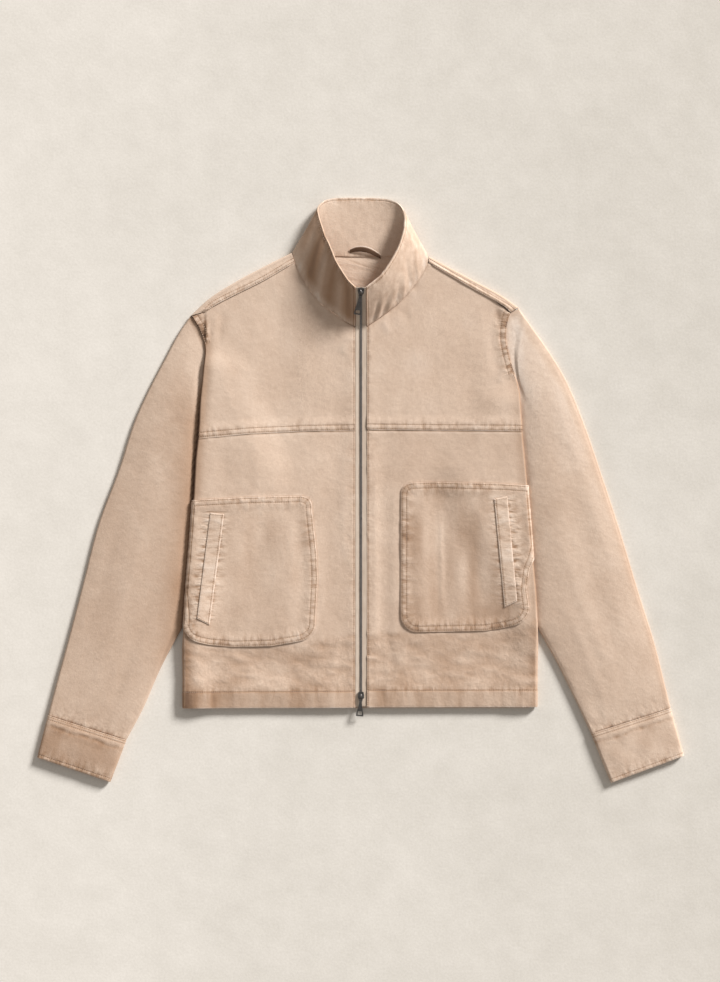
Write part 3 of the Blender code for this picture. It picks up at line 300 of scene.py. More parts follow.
# Besides its tables, a side has numbers of its own. Those for the edge, hem, strip, tape, top, rim, sleeve, cuff and
# turned parts are painted shade (below 0) or painted light (above 0) there, while those for the front, pocket and
# upper part say how pale (above 0) or dark (below 0) it is. top is a sleeve at its armhole, rim its outer edge, upper
# its upper part, and turned what goes round the side fold. turn_fade is how far the fold turns (columns: y, degrees),
# lean where a sleeve's crown has its top, edge_rise how much a front swells beside the fold, and stitched_to the row
# of the patch's plan up to which its outer edge shows stitches. contact and shade paint a shadow and shade on the
# sleeve beside the body, shade at a distance of shade_at.
Side = namedtuple(
    "Side",
    "name sign fold armhole neck shoulder strip sleeve cuff collar lines patch_edge patch_reach welt folds"
    " chest_creases front_creases pocket_creases sleeve_bands"
    " turn_fade lean edge_rise stitched_to pocket_wear sleeve_wear cuff_wear front_wear edge_wear hem_wear"
    " strip_wear tape_wear top_wear rim_wear upper_wear contact turned_wear shade shade_at seed",
)
LEFT = Side(
    "left", -1, LEFT_FOLD, LEFT_ARMHOLE, LEFT_NECK, LEFT_SHOULDER, LEFT_STRIP, LEFT_SLEEVE, LEFT_CUFF,
    LEFT_COLLAR, LEFT_LINES, LEFT_PATCH_EDGE, LEFT_PATCH_REACH, LEFT_WELT, LEFT_FOLDS,
    LEFT_CHEST_CREASES, LEFT_FRONT_CREASES, LEFT_POCKET_CREASES, LEFT_BANDS,
    turn_fade=[(215, 15), (195, 70), (178, 150), (160, 180)], lean=1.5, edge_rise=3.4, stitched_to=100,
    pocket_wear=-0.3, sleeve_wear=-0.5, cuff_wear=-1.7, front_wear=-0.1, edge_wear=-1.8, hem_wear=-1.45,
    strip_wear=0.1, tape_wear=0.0, top_wear=-1.8, rim_wear=-0.1, upper_wear=0.25, contact=-4.2,
    turned_wear=-3.4, shade=-1.9, shade_at=0.0, seed=100,
)
RIGHT = Side(
    "right", 1, RIGHT_FOLD, RIGHT_ARMHOLE, RIGHT_NECK, RIGHT_SHOULDER, RIGHT_STRIP, RIGHT_SLEEVE, RIGHT_CUFF,
    RIGHT_COLLAR, RIGHT_LINES, RIGHT_PATCH_EDGE, RIGHT_PATCH_REACH, RIGHT_WELT, RIGHT_FOLDS,
    RIGHT_CHEST_CREASES, RIGHT_FRONT_CREASES, RIGHT_POCKET_CREASES, RIGHT_BANDS,
    turn_fade=[(168, 15), (152, 70), (138, 150), (120, 180)], lean=0.9, edge_rise=1.2, stitched_to=60,
    pocket_wear=-0.8, sleeve_wear=-0.1, cuff_wear=-0.5, front_wear=-0.3, edge_wear=-0.9, hem_wear=-0.85,
    strip_wear=-0.7, tape_wear=-0.9, top_wear=-0.6, rim_wear=-0.9, upper_wear=0.65, contact=-1.0,
    turned_wear=-2.0, shade=-0.25, shade_at=36.0, seed=300,
)
SIDES = (LEFT, RIGHT)
EDGE_OUT = 240.0  # where the rows of the lower front are spaced out

# ---------------------------------------------------------------- curves, noise and heights


def smoothstep(t):
    t = np.clip(t, 0.0, 1.0)
    return t * t * (3.0 - 2.0 * t)


def mix(a, b, t):
    return a + (b - a) * t


def bell(distance, width):
    return np.exp(-((distance / width) ** 2))


def fading(distance, width):
    """1 up to an edge, dying out beyond it."""
    return np.exp(-np.maximum(distance, 0.0) / width)


def unit(vectors):
    return vectors / np.maximum(np.linalg.norm(vectors, axis=-1, keepdims=True), 1e-9)


def running(points, axis=0):
    """Length along a line of points, from 0 at its start."""
    steps = np.cumsum(np.linalg.norm(np.diff(points, axis=axis), axis=-1), axis=axis)
    return np.insert(steps, 0, 0.0, axis=axis)


def read(table, position):
    """A table's second column at a position in its first."""
    rows = np.asarray(sorted(table), float)
    return np.interp(position, rows[:, 0], rows[:, 1])


def smooth_at(rows, share, knots=None):
    """Points on a smooth curve through all columns of a table, at shares of its length."""
    rows = np.asarray(rows, float)
    knots = running(rows[:, :2]) if knots is None else knots
    slopes = np.gradient(rows, knots, axis=0)
    position = np.asarray(share, float) * knots[-1]
    i = np.clip(np.searchsorted(knots, position, side="right") - 1, 0, len(knots) - 2)
    span = (knots[i + 1] - knots[i])[:, None]
    t = (position - knots[i])[:, None] / span
    near = (1 + 2 * t) * rows[i] + t * span * slopes[i]
    far = (3 - 2 * t) * rows[i + 1] + (t - 1) * span * slopes[i + 1]
    return (1 - t) ** 2 * near + t**2 * far


def swapped(table):
    return [(b, a) for a, b in table]


def crowded(count, start, end, ends=0.5):
    """Shares from 0 to 1 that crowd towards the start, the end, or both."""
    t = np.linspace(0.0, 1.0, count)
    if start and end:
        curve = 0.5 - 0.5 * np.cos(np.pi * t)
    elif start:
        curve = 1.0 - np.cos(np.pi * t / 2)
    else:
        curve = np.sin(np.pi * t / 2)
    return mix(t, curve, ends)


LATTICE = 97  # points a side of the noise's lattice
LATTICES = {}


def noise(u, v, seed):
    """Smooth noise from -1 to 1 over a plane, the same for the same seed."""
    if seed not in LATTICES:
        LATTICES[seed] = np.random.default_rng(seed).uniform(-1.0, 1.0, (LATTICE, LATTICE))
    grid = LATTICES[seed]
    u, v = np.broadcast_arrays(np.asarray(u, float), np.asarray(v, float))
    i, k = np.floor(u).astype(int), np.floor(v).astype(int)
    s, t = smoothstep(u - i), smoothstep(v - k)
    i, k, i_next, k_next = i % LATTICE, k % LATTICE, (i + 1) % LATTICE, (k + 1) % LATTICE
    return mix(mix(grid[i, k], grid[i_next, k], s), mix(grid[i, k_next], grid[i_next, k_next], s), t)


def ripples(u, v, seed, coarse, fine, share):
    """Noise with a finer one on top. coarse and fine are their lengths along u and v."""
    return noise(u / coarse[0], v / coarse[1], seed) + share * noise(u / fine[0], v / fine[1], seed + 1)


class Path:
    """A line over a piece, in (out, y), from which distances are measured."""

    def __init__(self, points):
        self.points = np.asarray(points, float)[:, :2]
        self.steps = np.diff(self.points, axis=0)
        self.lengths = np.maximum(np.linalg.norm(self.steps, axis=1), 1e-6)
        self.starts = np.insert(np.cumsum(self.lengths), 0, 0.0)

    def measure(self, out, y):
        """Distance from the line and length along it."""
        out, y = np.broadcast_arrays(np.asarray(out, float), np.asarray(y, float))
        away, along = np.full(out.shape, np.inf), np.zeros(out.shape)
        for (a, b), (run, rise), length, start in zip(self.points, self.steps, self.lengths, self.starts):
            t = np.clip(((out - a) * run + (y - b) * rise) / length**2, 0.0, 1.0)
            distance = np.hypot(out - a - t * run, y - b - t * rise)
            nearer = distance < away
            away = np.where(nearer, distance, away)
            along = np.where(nearer, start + t * length, along)
        return away, along

    def encloses(self, out, y):
        """Whether points lie inside the line, which ends where it starts."""
        hits = np.zeros(np.broadcast(out, y).shape, int)
        for (a, b), (c, d) in zip(self.points[:-1], self.points[1:]):
            if b != d:
                hits += ((y < b) != (y < d)) & (out < (c - a) * (y - b) / (d - b) + a)
        return hits % 2 > 0


def fold_height(folds, out, y, tapered=False):
    """Sum of soft ridges and troughs, each along its own line."""
    total = np.zeros(np.broadcast(out, y).shape)
    for fold in folds:
        run_out, run_y = fold.out_b - fold.out_a, fold.y_b - fold.y_a
        along = ((out - fold.out_a) * run_out + (y - fold.y_a) * run_y) / (run_out**2 + run_y**2)
        share = np.clip(along, 0.0, 1.0)
        away = np.hypot(out - fold.out_a - share * run_out, y - fold.y_a - share * run_y)
        depth = fold.depth
        if tapered:
            depth = depth * smoothstep(along / 0.3 + 0.1) * smoothstep((1.0 - along) / 0.3 + 0.1)
        total = total + depth * bell(away, fold.width)
    return total


def under_edge(side, y):
    """Where the cloth on the sleeve under the body begins to rise."""
    return read(side.armhole + [(row[3], row[2]) for row in side.sleeve[1:]], y) - SLEEVE_MARGIN


def seam_edge(side, y):
    """Where a front's turned-under cloth ends."""
    return np.where(y > SIDE_SEAM[0][0], read(side.armhole, y), read(SIDE_SEAM, y))


def over_sleeve(side, out, y, reach):
    return 1.0 - smoothstep((under_edge(side, y) - out) / reach)


def under_height(side, out, y):
    """Height at which the turned-under layer lies: on the sleeve or on the surface."""
    room = under_edge(side, y) - seam_edge(side, y)
    return (SLEEVE_UNDER + SEAM_GAP) * over_sleeve(side, out, y, np.clip(room, LEAST_REACH, TIGHT_REACH))


def front_height(side, out, y):
    """Height of a front's outer face, before its seams and creases."""
    lifted = over_sleeve(side, out, y, DRAPE_REACH) * smoothstep((side.fold[0][0] - y) / FOLD_FADE)
    full = SLEEVE_UNDER + SEAM_GAP + FOLD_STACK
    # Fuller above the hem's stitching, and beside the side fold towards the hem.
    above_hem, beside_fold = y - side.fold[-1][0] - 26.0, out - read(side.fold, y) + 20.0
    swell = HEM_RISE * bell(above_hem, 22.0) * smoothstep((out - 12.0) / 30.0)
    swell = swell + side.edge_rise * smoothstep((-60.0 - y) / 120.0) * bell(beside_fold, 19.0)
    return FRONT_TOP + lifted * (full - FRONT_TOP) + fold_height(side.folds, out, y) + swell


def roll_radius(side, out, y, low):
    """Radius of the side fold, from its face down to the layer beneath."""
    return np.maximum((front_height(side, out, y) - low) / 2, LEAST_ROLL)


def side_roll(side, y):
    """The side fold at a height: where its turn starts, and its radius."""
    edge = read(side.fold, y)
    low = under_height(side, edge, y)
    start = edge - roll_radius(side, edge, y, low)
    return start, roll_radius(side, start, y, low)


def on_front(side, across, y, lift):
    """Points above a front's face, by the length across it from the zip's centre line."""
    start, radius = side_roll(side, y)
    face = np.minimum(across, start)
    angle = np.maximum(across - start, 0.0) / radius
    out = face + (radius + lift) * np.sin(angle)
    z = front_height(side, face, y) + lift - (radius + lift) * (1.0 - np.cos(angle))
    return signed(side, out, y, z)


def signed(side, out, y, z=0.0):
    """Points in the jacket's frame from one side's own measures."""
    return np.stack(np.broadcast_arrays(side.sign * out, y, z), axis=-1)


# ---------------------------------------------------------------- seams and creases

ROW_CHANNELS = 6
FAR = 60.0  # distance of a row of stitches that isn't there


class Relief:
    """What sewing and washing add to a piece.

    height, wear and crumple are numbers at each point. The wear is paler with wearing and with painted highlights
    on ridges, and darker with painted shade in troughs, along seams and beside other pieces. pull is the strength
    of the fine puckers there, along and away place them by the seam that makes them, and rows holds the signed
    distances to the rows of stitches.
    """

    def __init__(self, shape):
        plain = np.zeros(shape)
        self.height = self.wear = self.crumple = self.pull = self.along = self.away = plain
        self.rows = []

    def raise_by(self, height, wear=0.0):
        self.height = self.height + height
        self.wear = self.wear + wear

    def gather(self, pull, along, away):
        """Puckers of one seam, where they are stronger than those of the others. Where two are equal they die out."""
        stronger = pull > self.pull
        self.along, self.away = np.where(stronger, along, self.along), np.where(stronger, away, self.away)
        self.pull = np.abs(pull - self.pull)

    def sew(self, distance, there=1.0):
        """A row of stitches by the signed distance from it."""
        self.rows.append(distance + FAR * (1.0 - np.asarray(there, float)) + 0.0 * self.height)

    def hide(self, covered, away):
        """Lets everything die out where another piece covers it, by the distance in from that piece's edge."""
        share = np.where(covered, 1.0 - smoothstep(away / 3.0), 1.0)
        self.height, self.wear, self.crumple = self.height * share, self.wear * share, self.crumple * share
        self.pull = self.pull * share

    def marks(self):
        """Everything but the height, for the cloth's colour and fine relief."""
        rows = self.rows + [np.full(self.height.shape, FAR)] * (ROW_CHANNELS - len(self.rows))
        wear, crumple = np.clip(self.wear, -5.0, 2.0), np.clip(self.crumple, 0.0, 1.0)
        return np.stack([wear, crumple, self.pull, self.along, self.away, *rows], axis=-1)


Stitched = namedtuple("Stitched", "rows lift settle close pucker pitch reach rub pull")
LAPPED = Stitched((1.9, 8.2), 0.8, 9.5, 0.5, 0.24, 8.0, 6.0, 0.75, 1.0)
POCKET_EDGE = Stitched((1.9, 8.2), 0.75, 8.8, 0.45, 0.30, 8.0, 7.0, 0.75, 1.3)
ARMHOLE_BAND = Stitched((1.9, 8.6), 0.9, 9.5, 1.0, 0.45, 7.0, 7.0, 0.75, 2.0)
ZIP_BAND = Stitched((1.9,), 0.15, 6.0, 0.3, 0.24, 9.0, 5.0, -0.2, 0.7)
STRIP_BAND = Stitched((1.8, 6.6), 0.4, 7.5, 0.4, 0.18, 9.0, 5.0, 0.6, 0.8)
CUFF_TOP = Stitched((1.8, 5.6), 0.6, 12.0, 0.5, 0.26, 8.0, 9.0, 0.1, 1.2)
CUFF_END = Stitched((5.0,), 0.2, 6.0, 0.6, 0.3, 9.0, 8.0, 0.6, 1.2)
RIM_BAND = Stitched((3.4,), 0.3, 5.0, 0.4, 0.24, 9.0, 5.0, 0.2, 1.0)


def sew_edge(relief, stitched, away, along, seed, share=1.0):
    """Adds a turned and topstitched edge, by distance in from it and length along it."""
    last = stitched.rows[-1]
    lift = stitched.lift * (1.0 - smoothstep((away - stitched.settle) / 14.0))
    lift = lift - stitched.close * bell(np.maximum(away, 0.0), 1.1)
    sewn = sum(bell(away - row, 1.3) for row in stitched.rows)
    ripple = noise(along / stitched.pitch, away / 15.0, seed)
    ripple = ripple + 0.55 * noise(along / (0.5 * stitched.pitch) + 7.0, away / 8.0, seed + 1)
    fade = fading(away - last, stitched.reach)
    reach = smoothstep((away + 1.0) / 2.5) * fade
    # Its puckers get painted light on their ridges and painted shade in their troughs, its edge is lightened by its
    # rub (darkened where the rub is below 0), and the cloth beyond the last row gets a little painted shade.
    relief.raise_by(
        share * (lift - 0.25 * sewn + stitched.pucker * ripple * reach),
        share * (stitched.rub * bell(away, 1.0) + 0.45 * ripple * reach - 0.10 * bell(away - last, 7.0)),
    )
    relief.crumple = relief.crumple + share * 0.3 * fade * (away > -1.0)
    relief.gather(stitched.pull * share * reach * (away > -1.0), along, away)
    for row in stitched.rows:
        relief.sew(away - row, np.asarray(share) > 0.5)


def crease(relief, folds, out, y, wear=0.35):
    # Ridges get painted light and troughs painted shade.
    height = fold_height(folds, out, y, tapered=True)
    relief.raise_by(height, wear * height)


def soften(relief, out, y, seed, strength=1.0):
    """The unevenness of washed canvas that lies flat."""
    height = 0.32 * noise(out / 46.0, y / 62.0, seed) + 0.07 * noise(out / 17.0, y / 21.0, seed + 1)
    height = height + 0.03 * noise(out / 7.5, y / 8.5, seed + 2)
    relief.raise_by(strength * height, 0.12 * noise(out / 26.0, y / 30.0, seed + 3))


def armhole_path(side):
    rows = [(out, y) for y, out in side.armhole if y > side.fold[0][0] - 1.0]
    return Path(smooth_at(rows, np.linspace(0.0, 1.0, 24)))


def chest_relief(side, out, y):
    relief = Relief(out.shape)
    fold_top = side.fold[0][0]
    sew_edge(relief, LAPPED, y - read(side.lines["yoke"], out), out, side.seed + 1)
    sew_edge(relief, ZIP_BAND, out - ZIP_EDGE, y, side.seed + 3)
    away, along = armhole_path(side).measure(out, y)
    sewn = smoothstep((y - fold_top + 6.0) / 16.0) * (away < 40.0)
    if side is LEFT:
        sewn = sewn * smoothstep((out - 214.0) / 6.0)
    sew_edge(relief, ARMHOLE_BAND, away, along, side.seed + 5, sewn)
    if side is LEFT:  # the outer corner, which sinks beyond a dark crease
        above = smoothstep((y - 206.0) / 6.0)
        beyond = smoothstep((out - 220.0) / 4.0) * above
        # Painted shade on the sunk corner, and a painted shadow in its crease.
        relief.raise_by(-1.3 * beyond * smoothstep(away / 3.0), -0.6 * beyond)
        relief.raise_by(0.0, -2.0 * bell(out - 222.0, 1.8) * above * smoothstep((250.0 - y) / 14.0))
    # Puckers along the neckline, with painted shade along its seam.
    away, along = Path(smooth_at(side.neck, np.linspace(0.0, 1.0, 30))).measure(out, y)
    ripple = noise(along / 10.0, away / 16.0, side.seed + 7) * fading(away, 11.0)
    relief.raise_by(0.4 * ripple - 0.5 * bell(away, 1.3), 0.35 * ripple - 0.5 * bell(away, 1.6))
    crease(relief, side.chest_creases, out, y)
    soften(relief, out, y, side.seed + 10)
    relief.crumple = relief.crumple + 0.25
    # Flat where it runs in under the strip over the shoulder.
    below_seam = read(side.shoulder, out) - y
    under = (out > side.neck[-1][0] - 4.0) * (1.0 - smoothstep((below_seam - 1.0) / 4.0))
    relief.height = mix(relief.height, np.minimum(relief.height, 0.0) - 0.1, under * smoothstep(away / 8.0))
    return relief


CORNER = 20.0  # radius of the patch's corners
TOP_CORNER, BOTTOM_CORNER = 0.75, 1.15  # the parts of it at the inner top and at the bottom
PLAN_OUT = 150.0  # where the patch's height is measured


def pocket_plan(side, rows=110, columns=100):
    """The patch as lengths across the front and Y, with its corners rounded off."""
    down = crowded(rows, True, True, 0.55)[:, None]
    share = crowded(columns, True, True, 0.25)[None, :]
    top, bottom = side.lines["patch_top"], side.lines["patch_bottom"]
    height = read(top, PLAN_OUT) - read(bottom, PLAN_OUT)
    middle = read(top, PLAN_OUT) * (1 - down) + read(bottom, PLAN_OUT) * down
    start, radius = side_roll(side, middle)
    near = read(side.patch_edge, middle)
    far = start + radius * math.pi / 2 - read(side.patch_reach, middle)
    for at_end, corner, at_far in ((down, TOP_CORNER, 0.0), (1.0 - down, BOTTOM_CORNER, 1.0)):
        reach = CORNER * corner
        over = np.clip(reach - height * at_end, 0.0, reach)
        inward = reach - np.sqrt(np.maximum(reach**2 - over**2, 0.0))
        near, far = near + inward, far - inward * at_far
    across = mix(near, far, share)
    flat = np.minimum(across, start + 3.0)
    return across, mix(read(top, flat), read(bottom, flat), down)


def run_of(plan, *places):
    """A line over a plan's grid, through the cells that each place picks."""
    return [(a, b) for place in places for a, b in zip(plan[0][place], plan[1][place])]


PATCH_PATHS = {}


def patch_path(side):
    """The patch's outline, from its top inner corner round."""
    if side.name not in PATCH_PATHS:
        run = run_of(pocket_plan(side), np.s_[0], np.s_[1:, -1], np.s_[-1, -2::-1], np.s_[-2:0:-1, 0])
        PATCH_PATHS[side.name] = Path(run[::2] + [run[0]])
    return PATCH_PATHS[side.name]


def welt_path(side):
    return Path(list(side.welt) + [side.welt[0]])


def front_relief(side, out, y):
    relief = Relief(out.shape)
    soften(relief, out, y, side.seed + 10)
    crease(relief, side.front_creases, out, y)
    # Below the yoke seam: puckers, a painted shadow under the chest's edge, and a painted highlight just below that.
    below = read(side.lines["yoke"], out) - y
    ripple = noise(out / 9.0, below / 14.0, side.seed + 21) * fading(below, 8.0)
    shaded = side.front_wear - 3.0 * bell(below, 1.1) + 0.7 * bell(below - 2.9, 1.0)
    relief.raise_by(0.3 * ripple, 0.35 * ripple + shaded)
    sew_edge(relief, ZIP_BAND, out - ZIP_EDGE, y, side.seed + 3)

    # Round the patch: puckers, a painted shadow along its edge with a pale line just beyond it, and flat under it.
    away, along = patch_path(side).measure(out, y)
    ripple = noise(along / 8.0, away / 12.0, side.seed + 23) * fading(away, 8.0)
    relief.raise_by(0.24 * ripple, 0.2 * ripple + 0.5 * bell(away - 1.8, 1.3))
    relief.gather(0.35 * fading(away, 4.0), along, away)
    covered = patch_path(side).encloses(out, y)
    relief.hide(covered, away)
    relief.raise_by(0.0, -0.8 * bell(away, 1.3))

    # The hem: a double band in painted shade, puckers above and below its stitching with painted shade along it, and
    # a pale edge that is partly rubbed and partly painted light.
    above, rise = y - read(side.lines["stitching"], out), y - read(side.lines["hem"], out)
    band = 1.0 - smoothstep(above + 0.5)
    ripple = ripples(out, y, side.seed + 25, (10.0, 60.0), (5.0, 40.0), 0.6) * fading(above, 6.0)
    cloudy = 0.9 + 0.7 * noise(out / 14.0, y / 60.0, side.seed + 30)
    relief.raise_by(
        0.55 * band - 0.3 * bell(above, 1.4) + 0.25 * ripple - 0.5 * bell(rise, 1.3),
        0.3 * ripple + 2.6 * bell(rise, 1.2) + side.hem_wear * band * cloudy - 0.2 * bell(above - 4.0, 6.0)
        - bell(above, 1.6),
    )
    pull = np.where(above > 0, np.exp(-np.abs(above) / 5.0), 0.45 * np.exp(-np.abs(above) / 14.0))
    relief.gather(pull, out, above * 0.7)
    relief.sew(above)

    # Slanting wrinkles below the patch and beside the zip.
    lower = smoothstep((read(side.lines["patch_bottom"], out) + 4.0 - y) / 12.0) * (1.0 - band)
    strength = lower + 0.4 * fading(out - ZIP_EDGE, 26.0) * (1.0 - band)
    slant = out + side.sign * 0.7 * y
    wrinkle = ripples(slant, y, side.seed + 27, (26.0, 8.0), (14.0, 5.0), 0.6)
    cloudy = 0.8 + 0.6 * noise(out / 30.0, y / 16.0, side.seed + 29)
    relief.raise_by(0.34 * strength * wrinkle, 0.35 * strength * wrinkle - lower * cloudy)
    relief.crumple = relief.crumple * (1.0 - covered) + 0.25 + 0.5 * strength + 0.2 * band
    relief.height = mix(relief.height, np.minimum(relief.height, 0.0), smoothstep(1.0 - below / 3.0))
    return relief


def pocket_relief(side, across, y):
    relief = Relief(across.shape)
    soften(relief, across, y, side.seed + 40, 1.2)
    relief.raise_by(0.0, side.pocket_wear * (1.0 + 1.2 * noise(across / 16.0, y / 60.0, side.seed + 45)))
    crease(relief, side.pocket_creases, across, y)
    away, along = patch_path(side).measure(across, y)
    sew_edge(relief, POCKET_EDGE, away, along, side.seed + 41)

    # Puckers round the welt, longer on its outer side, with painted light and shade on them and painted shade along
    # the welt's edge.
    away, _ = welt_path(side).measure(across, y)
    outer = smoothstep((across - read(swapped(side.welt[1:3]), y) + 4.0) / 8.0)
    ripple = ripples(y, away, side.seed + 43, (9.0, 17.0), (4.6, 10.0), 0.4)
    ripple = np.clip(ripple, -1.0, 0.6) * np.exp(-away / mix(8.0, 13.0, outer)) * smoothstep(away / 2.0)
    relief.raise_by(mix(0.35, 0.6, outer) * ripple, 0.8 * ripple - 0.5 * bell(away, 1.5))
    pull = mix(2.4, 4.0, outer) * np.exp(-away / mix(6.0, 10.0, outer))
    relief.gather(pull * (y > side.welt[2][1] - 4.0), 0.95 * y, away)
    covered = welt_path(side).encloses(across, y)
    relief.hide(covered, away)
    relief.height = np.maximum(np.where(covered, np.minimum(relief.height, 0.0), relief.height), -0.12)

    # Darker and speckled along the side, where the patch turns over.
    if side is LEFT:
        rubbed = bell(across - 243.0, 13.0) * smoothstep((-118.0 - y) / 22.0)
    else:
        rubbed = bell(across - 236.0, 13.0) * bell(y + 128.0, 32.0)
    speckled = 0.55 + 0.9 * noise(across / 4.5, y / 5.5, side.seed + 46)
    relief.raise_by(0.0, -1.5 * rubbed * speckled * (1.0 - covered))
    relief.crumple = relief.crumple + 0.35 + 0.5 * rubbed
    return relief


# ---------------------------------------------------------------- the canvas pieces

Sheet = namedtuple("Sheet", "points marks")
# The place among the marks of the wear, with its painted light and shade.
WEAR_AND_SHADING = 0  # the wear's place among the marks
ROLL_STEPS = np.arange(1, 11) / 10  # shares of the side fold's turn


def turned_sheet(side, out, y, relief_of):
    """A front's cloth from its plan: over its face, round the side fold, and back under to the seam."""
    edge, edge_y = out[:, -1:], y[:, -1:]
    turn = np.radians(read(side.turn_fade, edge_y))
    low = under_height(side, edge, edge_y)
    radius = roll_radius(side, edge, edge_y, low)
    out = ZIP_EDGE + (out - ZIP_EDGE) * (edge - radius - ZIP_EDGE) / (edge - ZIP_EDGE)
    relief = relief_of(side, out, y)
    # Painted shade along the side fold.
    relief.raise_by(0.0, side.edge_wear * bell(out[:, -1:] - out, 9.0))
    z = front_height(side, out, y) + relief.height
    face = signed(side, out, y, z)

    radius = np.maximum((z[:, -1:] - low) / 2, LEAST_ROLL)
    angle = turn * ROLL_STEPS
    roll_out = out[:, -1:] + radius * np.sin(angle)
    roll_z = z[:, -1:] - radius + radius * np.cos(angle)
    roll = signed(side, roll_out, edge_y, roll_z)

    turned = smoothstep(2 * turn / math.pi - 1)
    begin = roll_out[:, -1:]
    end = np.minimum(seam_edge(side, edge_y) + SEAM_GAP / 2, begin - 3 * LEAST_RUN)
    bend = np.clip(under_edge(side, edge_y), end + LEAST_RUN, begin - LEAST_RUN)
    stops = [mix(begin, bend, t) for t in (0.15, 0.5, 1.0)] + [mix(bend, end, t) for t in (0.33, 0.67, 1.0)]
    part = (begin - np.concatenate(stops, axis=1)) / (begin - end)
    width = mix(LEAST_RUN, begin - end, turned**3)
    run_out = begin + width * np.cos(turn) * part
    run_z = np.maximum(roll_z[:, -1:] - width * np.sin(turn) * part, under_height(side, run_out, edge_y))
    run = signed(side, run_out, edge_y, run_z)

    # Painted shade on the cloth that turns round the side fold, less at the hem and towards the armhole.
    above_hem = smoothstep((edge_y + 190.0) / 40.0)
    below_armhole = 1.0 - 0.8 * smoothstep((edge_y - side.fold[0][0] + 18.0) / 24.0)
    extra = angle.shape[1] + part.shape[1]
    shaded = smoothstep((np.arange(extra) + 1.0) / 3.0)[None, :] * (0.2 + 0.8 * above_hem * below_armhole)
    marks = relief.marks()
    beyond = np.repeat(marks[:, -1:], extra, axis=1)
    beyond[..., WEAR_AND_SHADING] = relief.wear[:, -1:] * 0.6 + side.turned_wear * shaded
    return Sheet(np.concatenate([face, roll, run], axis=1), np.concatenate([marks, beyond], axis=1))


def chest_sheet(side):
    """The upper front, between neckline, shoulder seam, armhole and yoke seam."""
    end_out, end_y = side.shoulder[-1]
    corner = side.neck[-1][0]
    share = crowded(118, True, True, 0.3)
    top_out = ZIP_EDGE + share * (end_out - ZIP_EDGE)
    tuck = TUCK * smoothstep((top_out - corner - 4.0) / 8.0) * (1.0 - smoothstep((top_out - end_out + 26.0) / 14.0))
    top_y = np.where(top_out < corner, read(side.neck, top_out), read(side.shoulder, top_out)) - SEAM_GAP + tuck
    fold_top, yoke_y = side.fold[0][0], side.lines["yoke"][-1][1]
    edge = [(end_out, end_y - SEAM_GAP)]
    edge += [(out, y) for y, out in side.armhole if fold_top < y < end_y - LEAST_RUN]
    edge += [(out, y) for y, out in side.fold if y > yoke_y + LEAST_RUN]
    edge.append((float(read(side.fold, yoke_y)), yoke_y))
    down = crowded(100, False, True, 0.25)
    edge = smooth_at(edge, down)
    bottom_out = ZIP_EDGE + share * (edge[-1, 0] - ZIP_EDGE)
    bottom_y = read(side.lines["yoke"], bottom_out)
    out, y = mix(top_out, bottom_out, down[:, None]), mix(top_y, bottom_y, down[:, None])
    out = out + share**2 * (edge[:, :1] - out[:, -1:])
    y = y + share**2 * (edge[:, 1:2] - y[:, -1:])
    return turned_sheet(side, out, y, chest_relief)


# The lower front's bands, each from one line down to the next, with the shares of it that its rows lie at.
FRONT_BANDS = (
    ("yoke", "patch_top", crowded(38, True, True, 0.3)[:-1]),
    ("patch_top", "patch_bottom", np.linspace(0, 1, 52)[:-1]),
    ("patch_bottom", "stitching", np.linspace(0, 1, 38)[:-1]),
    ("stitching", "hem", crowded(16, True, True, 0.3)),
)


def front_sheet(side):
    """The lower front, from under the chest's edge to the hem."""
    inner, outer = crowded(30, True, False, 0.25), crowded(84, False, True, 0.25)
    out, y = [], []
    for upper, lower, shares in FRONT_BANDS:
        upper, lower = side.lines[upper], side.lines[lower]
        for share in shares:
            side_y = mix(read(upper, EDGE_OUT), read(lower, EDGE_OUT), share)
            edge, patch = read(side.fold, side_y), read(side.patch_edge, side_y)
            out.append(np.concatenate([mix(ZIP_EDGE, patch, inner)[:-1], mix(patch, edge, outer)]))
            y.append(mix(read(upper, out[-1]), read(lower, out[-1]), share))
            y[-1][-1] = side_y
    out, y = np.array(out[:1] + out), np.array(y[:1] + y)
    y[0] += SEAM_GAP + (TUCK - SEAM_GAP) * (1.0 - smoothstep((out[0] - 200.0) / 20.0))
    return turned_sheet(side, out, y, front_relief)


def pocket_sheet(side):
    across, y = pocket_plan(side)
    relief = pocket_relief(side, across, y)
    return Sheet(on_front(side, across, y, POCKET_LIFT + relief.height), relief.marks())


def welt_sheet(side):
    """The slanted welt of the pocket's mouth, with its edges turned in and sewn down."""
    a, b, c, d = np.array(side.welt)
    u, v = crowded(15, True, True, 0.4)[None, :, None], crowded(84, True, True, 0.2)[:, None, None]
    plan = mix(mix(a, b, u), mix(d, c, u), v)
    across, y = plan[..., 0], plan[..., 1]
    relief = Relief(across.shape)
    away, _ = welt_path(side).measure(across, y)
    ripple = ripples(y, across, side.seed + 51, (11.0, 30.0), (5.5, 18.0), 0.5)
    # Paler along its edges, partly from wearing and partly painted highlight, with painted light and shade on its
    # puckers.
    relief.raise_by(0.2 - 0.3 * bell(away, 1.0) + 0.24 * ripple, 0.8 * bell(away, 0.9) + 0.45 * ripple)
    relief.gather(1.1, 0.95 * y, across)
    relief.sew(u[..., 0] * np.linalg.norm(b - a) - WELT_ROW)
    relief.crumple = relief.crumple + 0.3
    return Sheet(on_front(side, across, y, WELT_LIFT + np.maximum(relief.height, -0.1)), relief.marks())


# ---------------------------------------------------------------- sleeves and cuffs

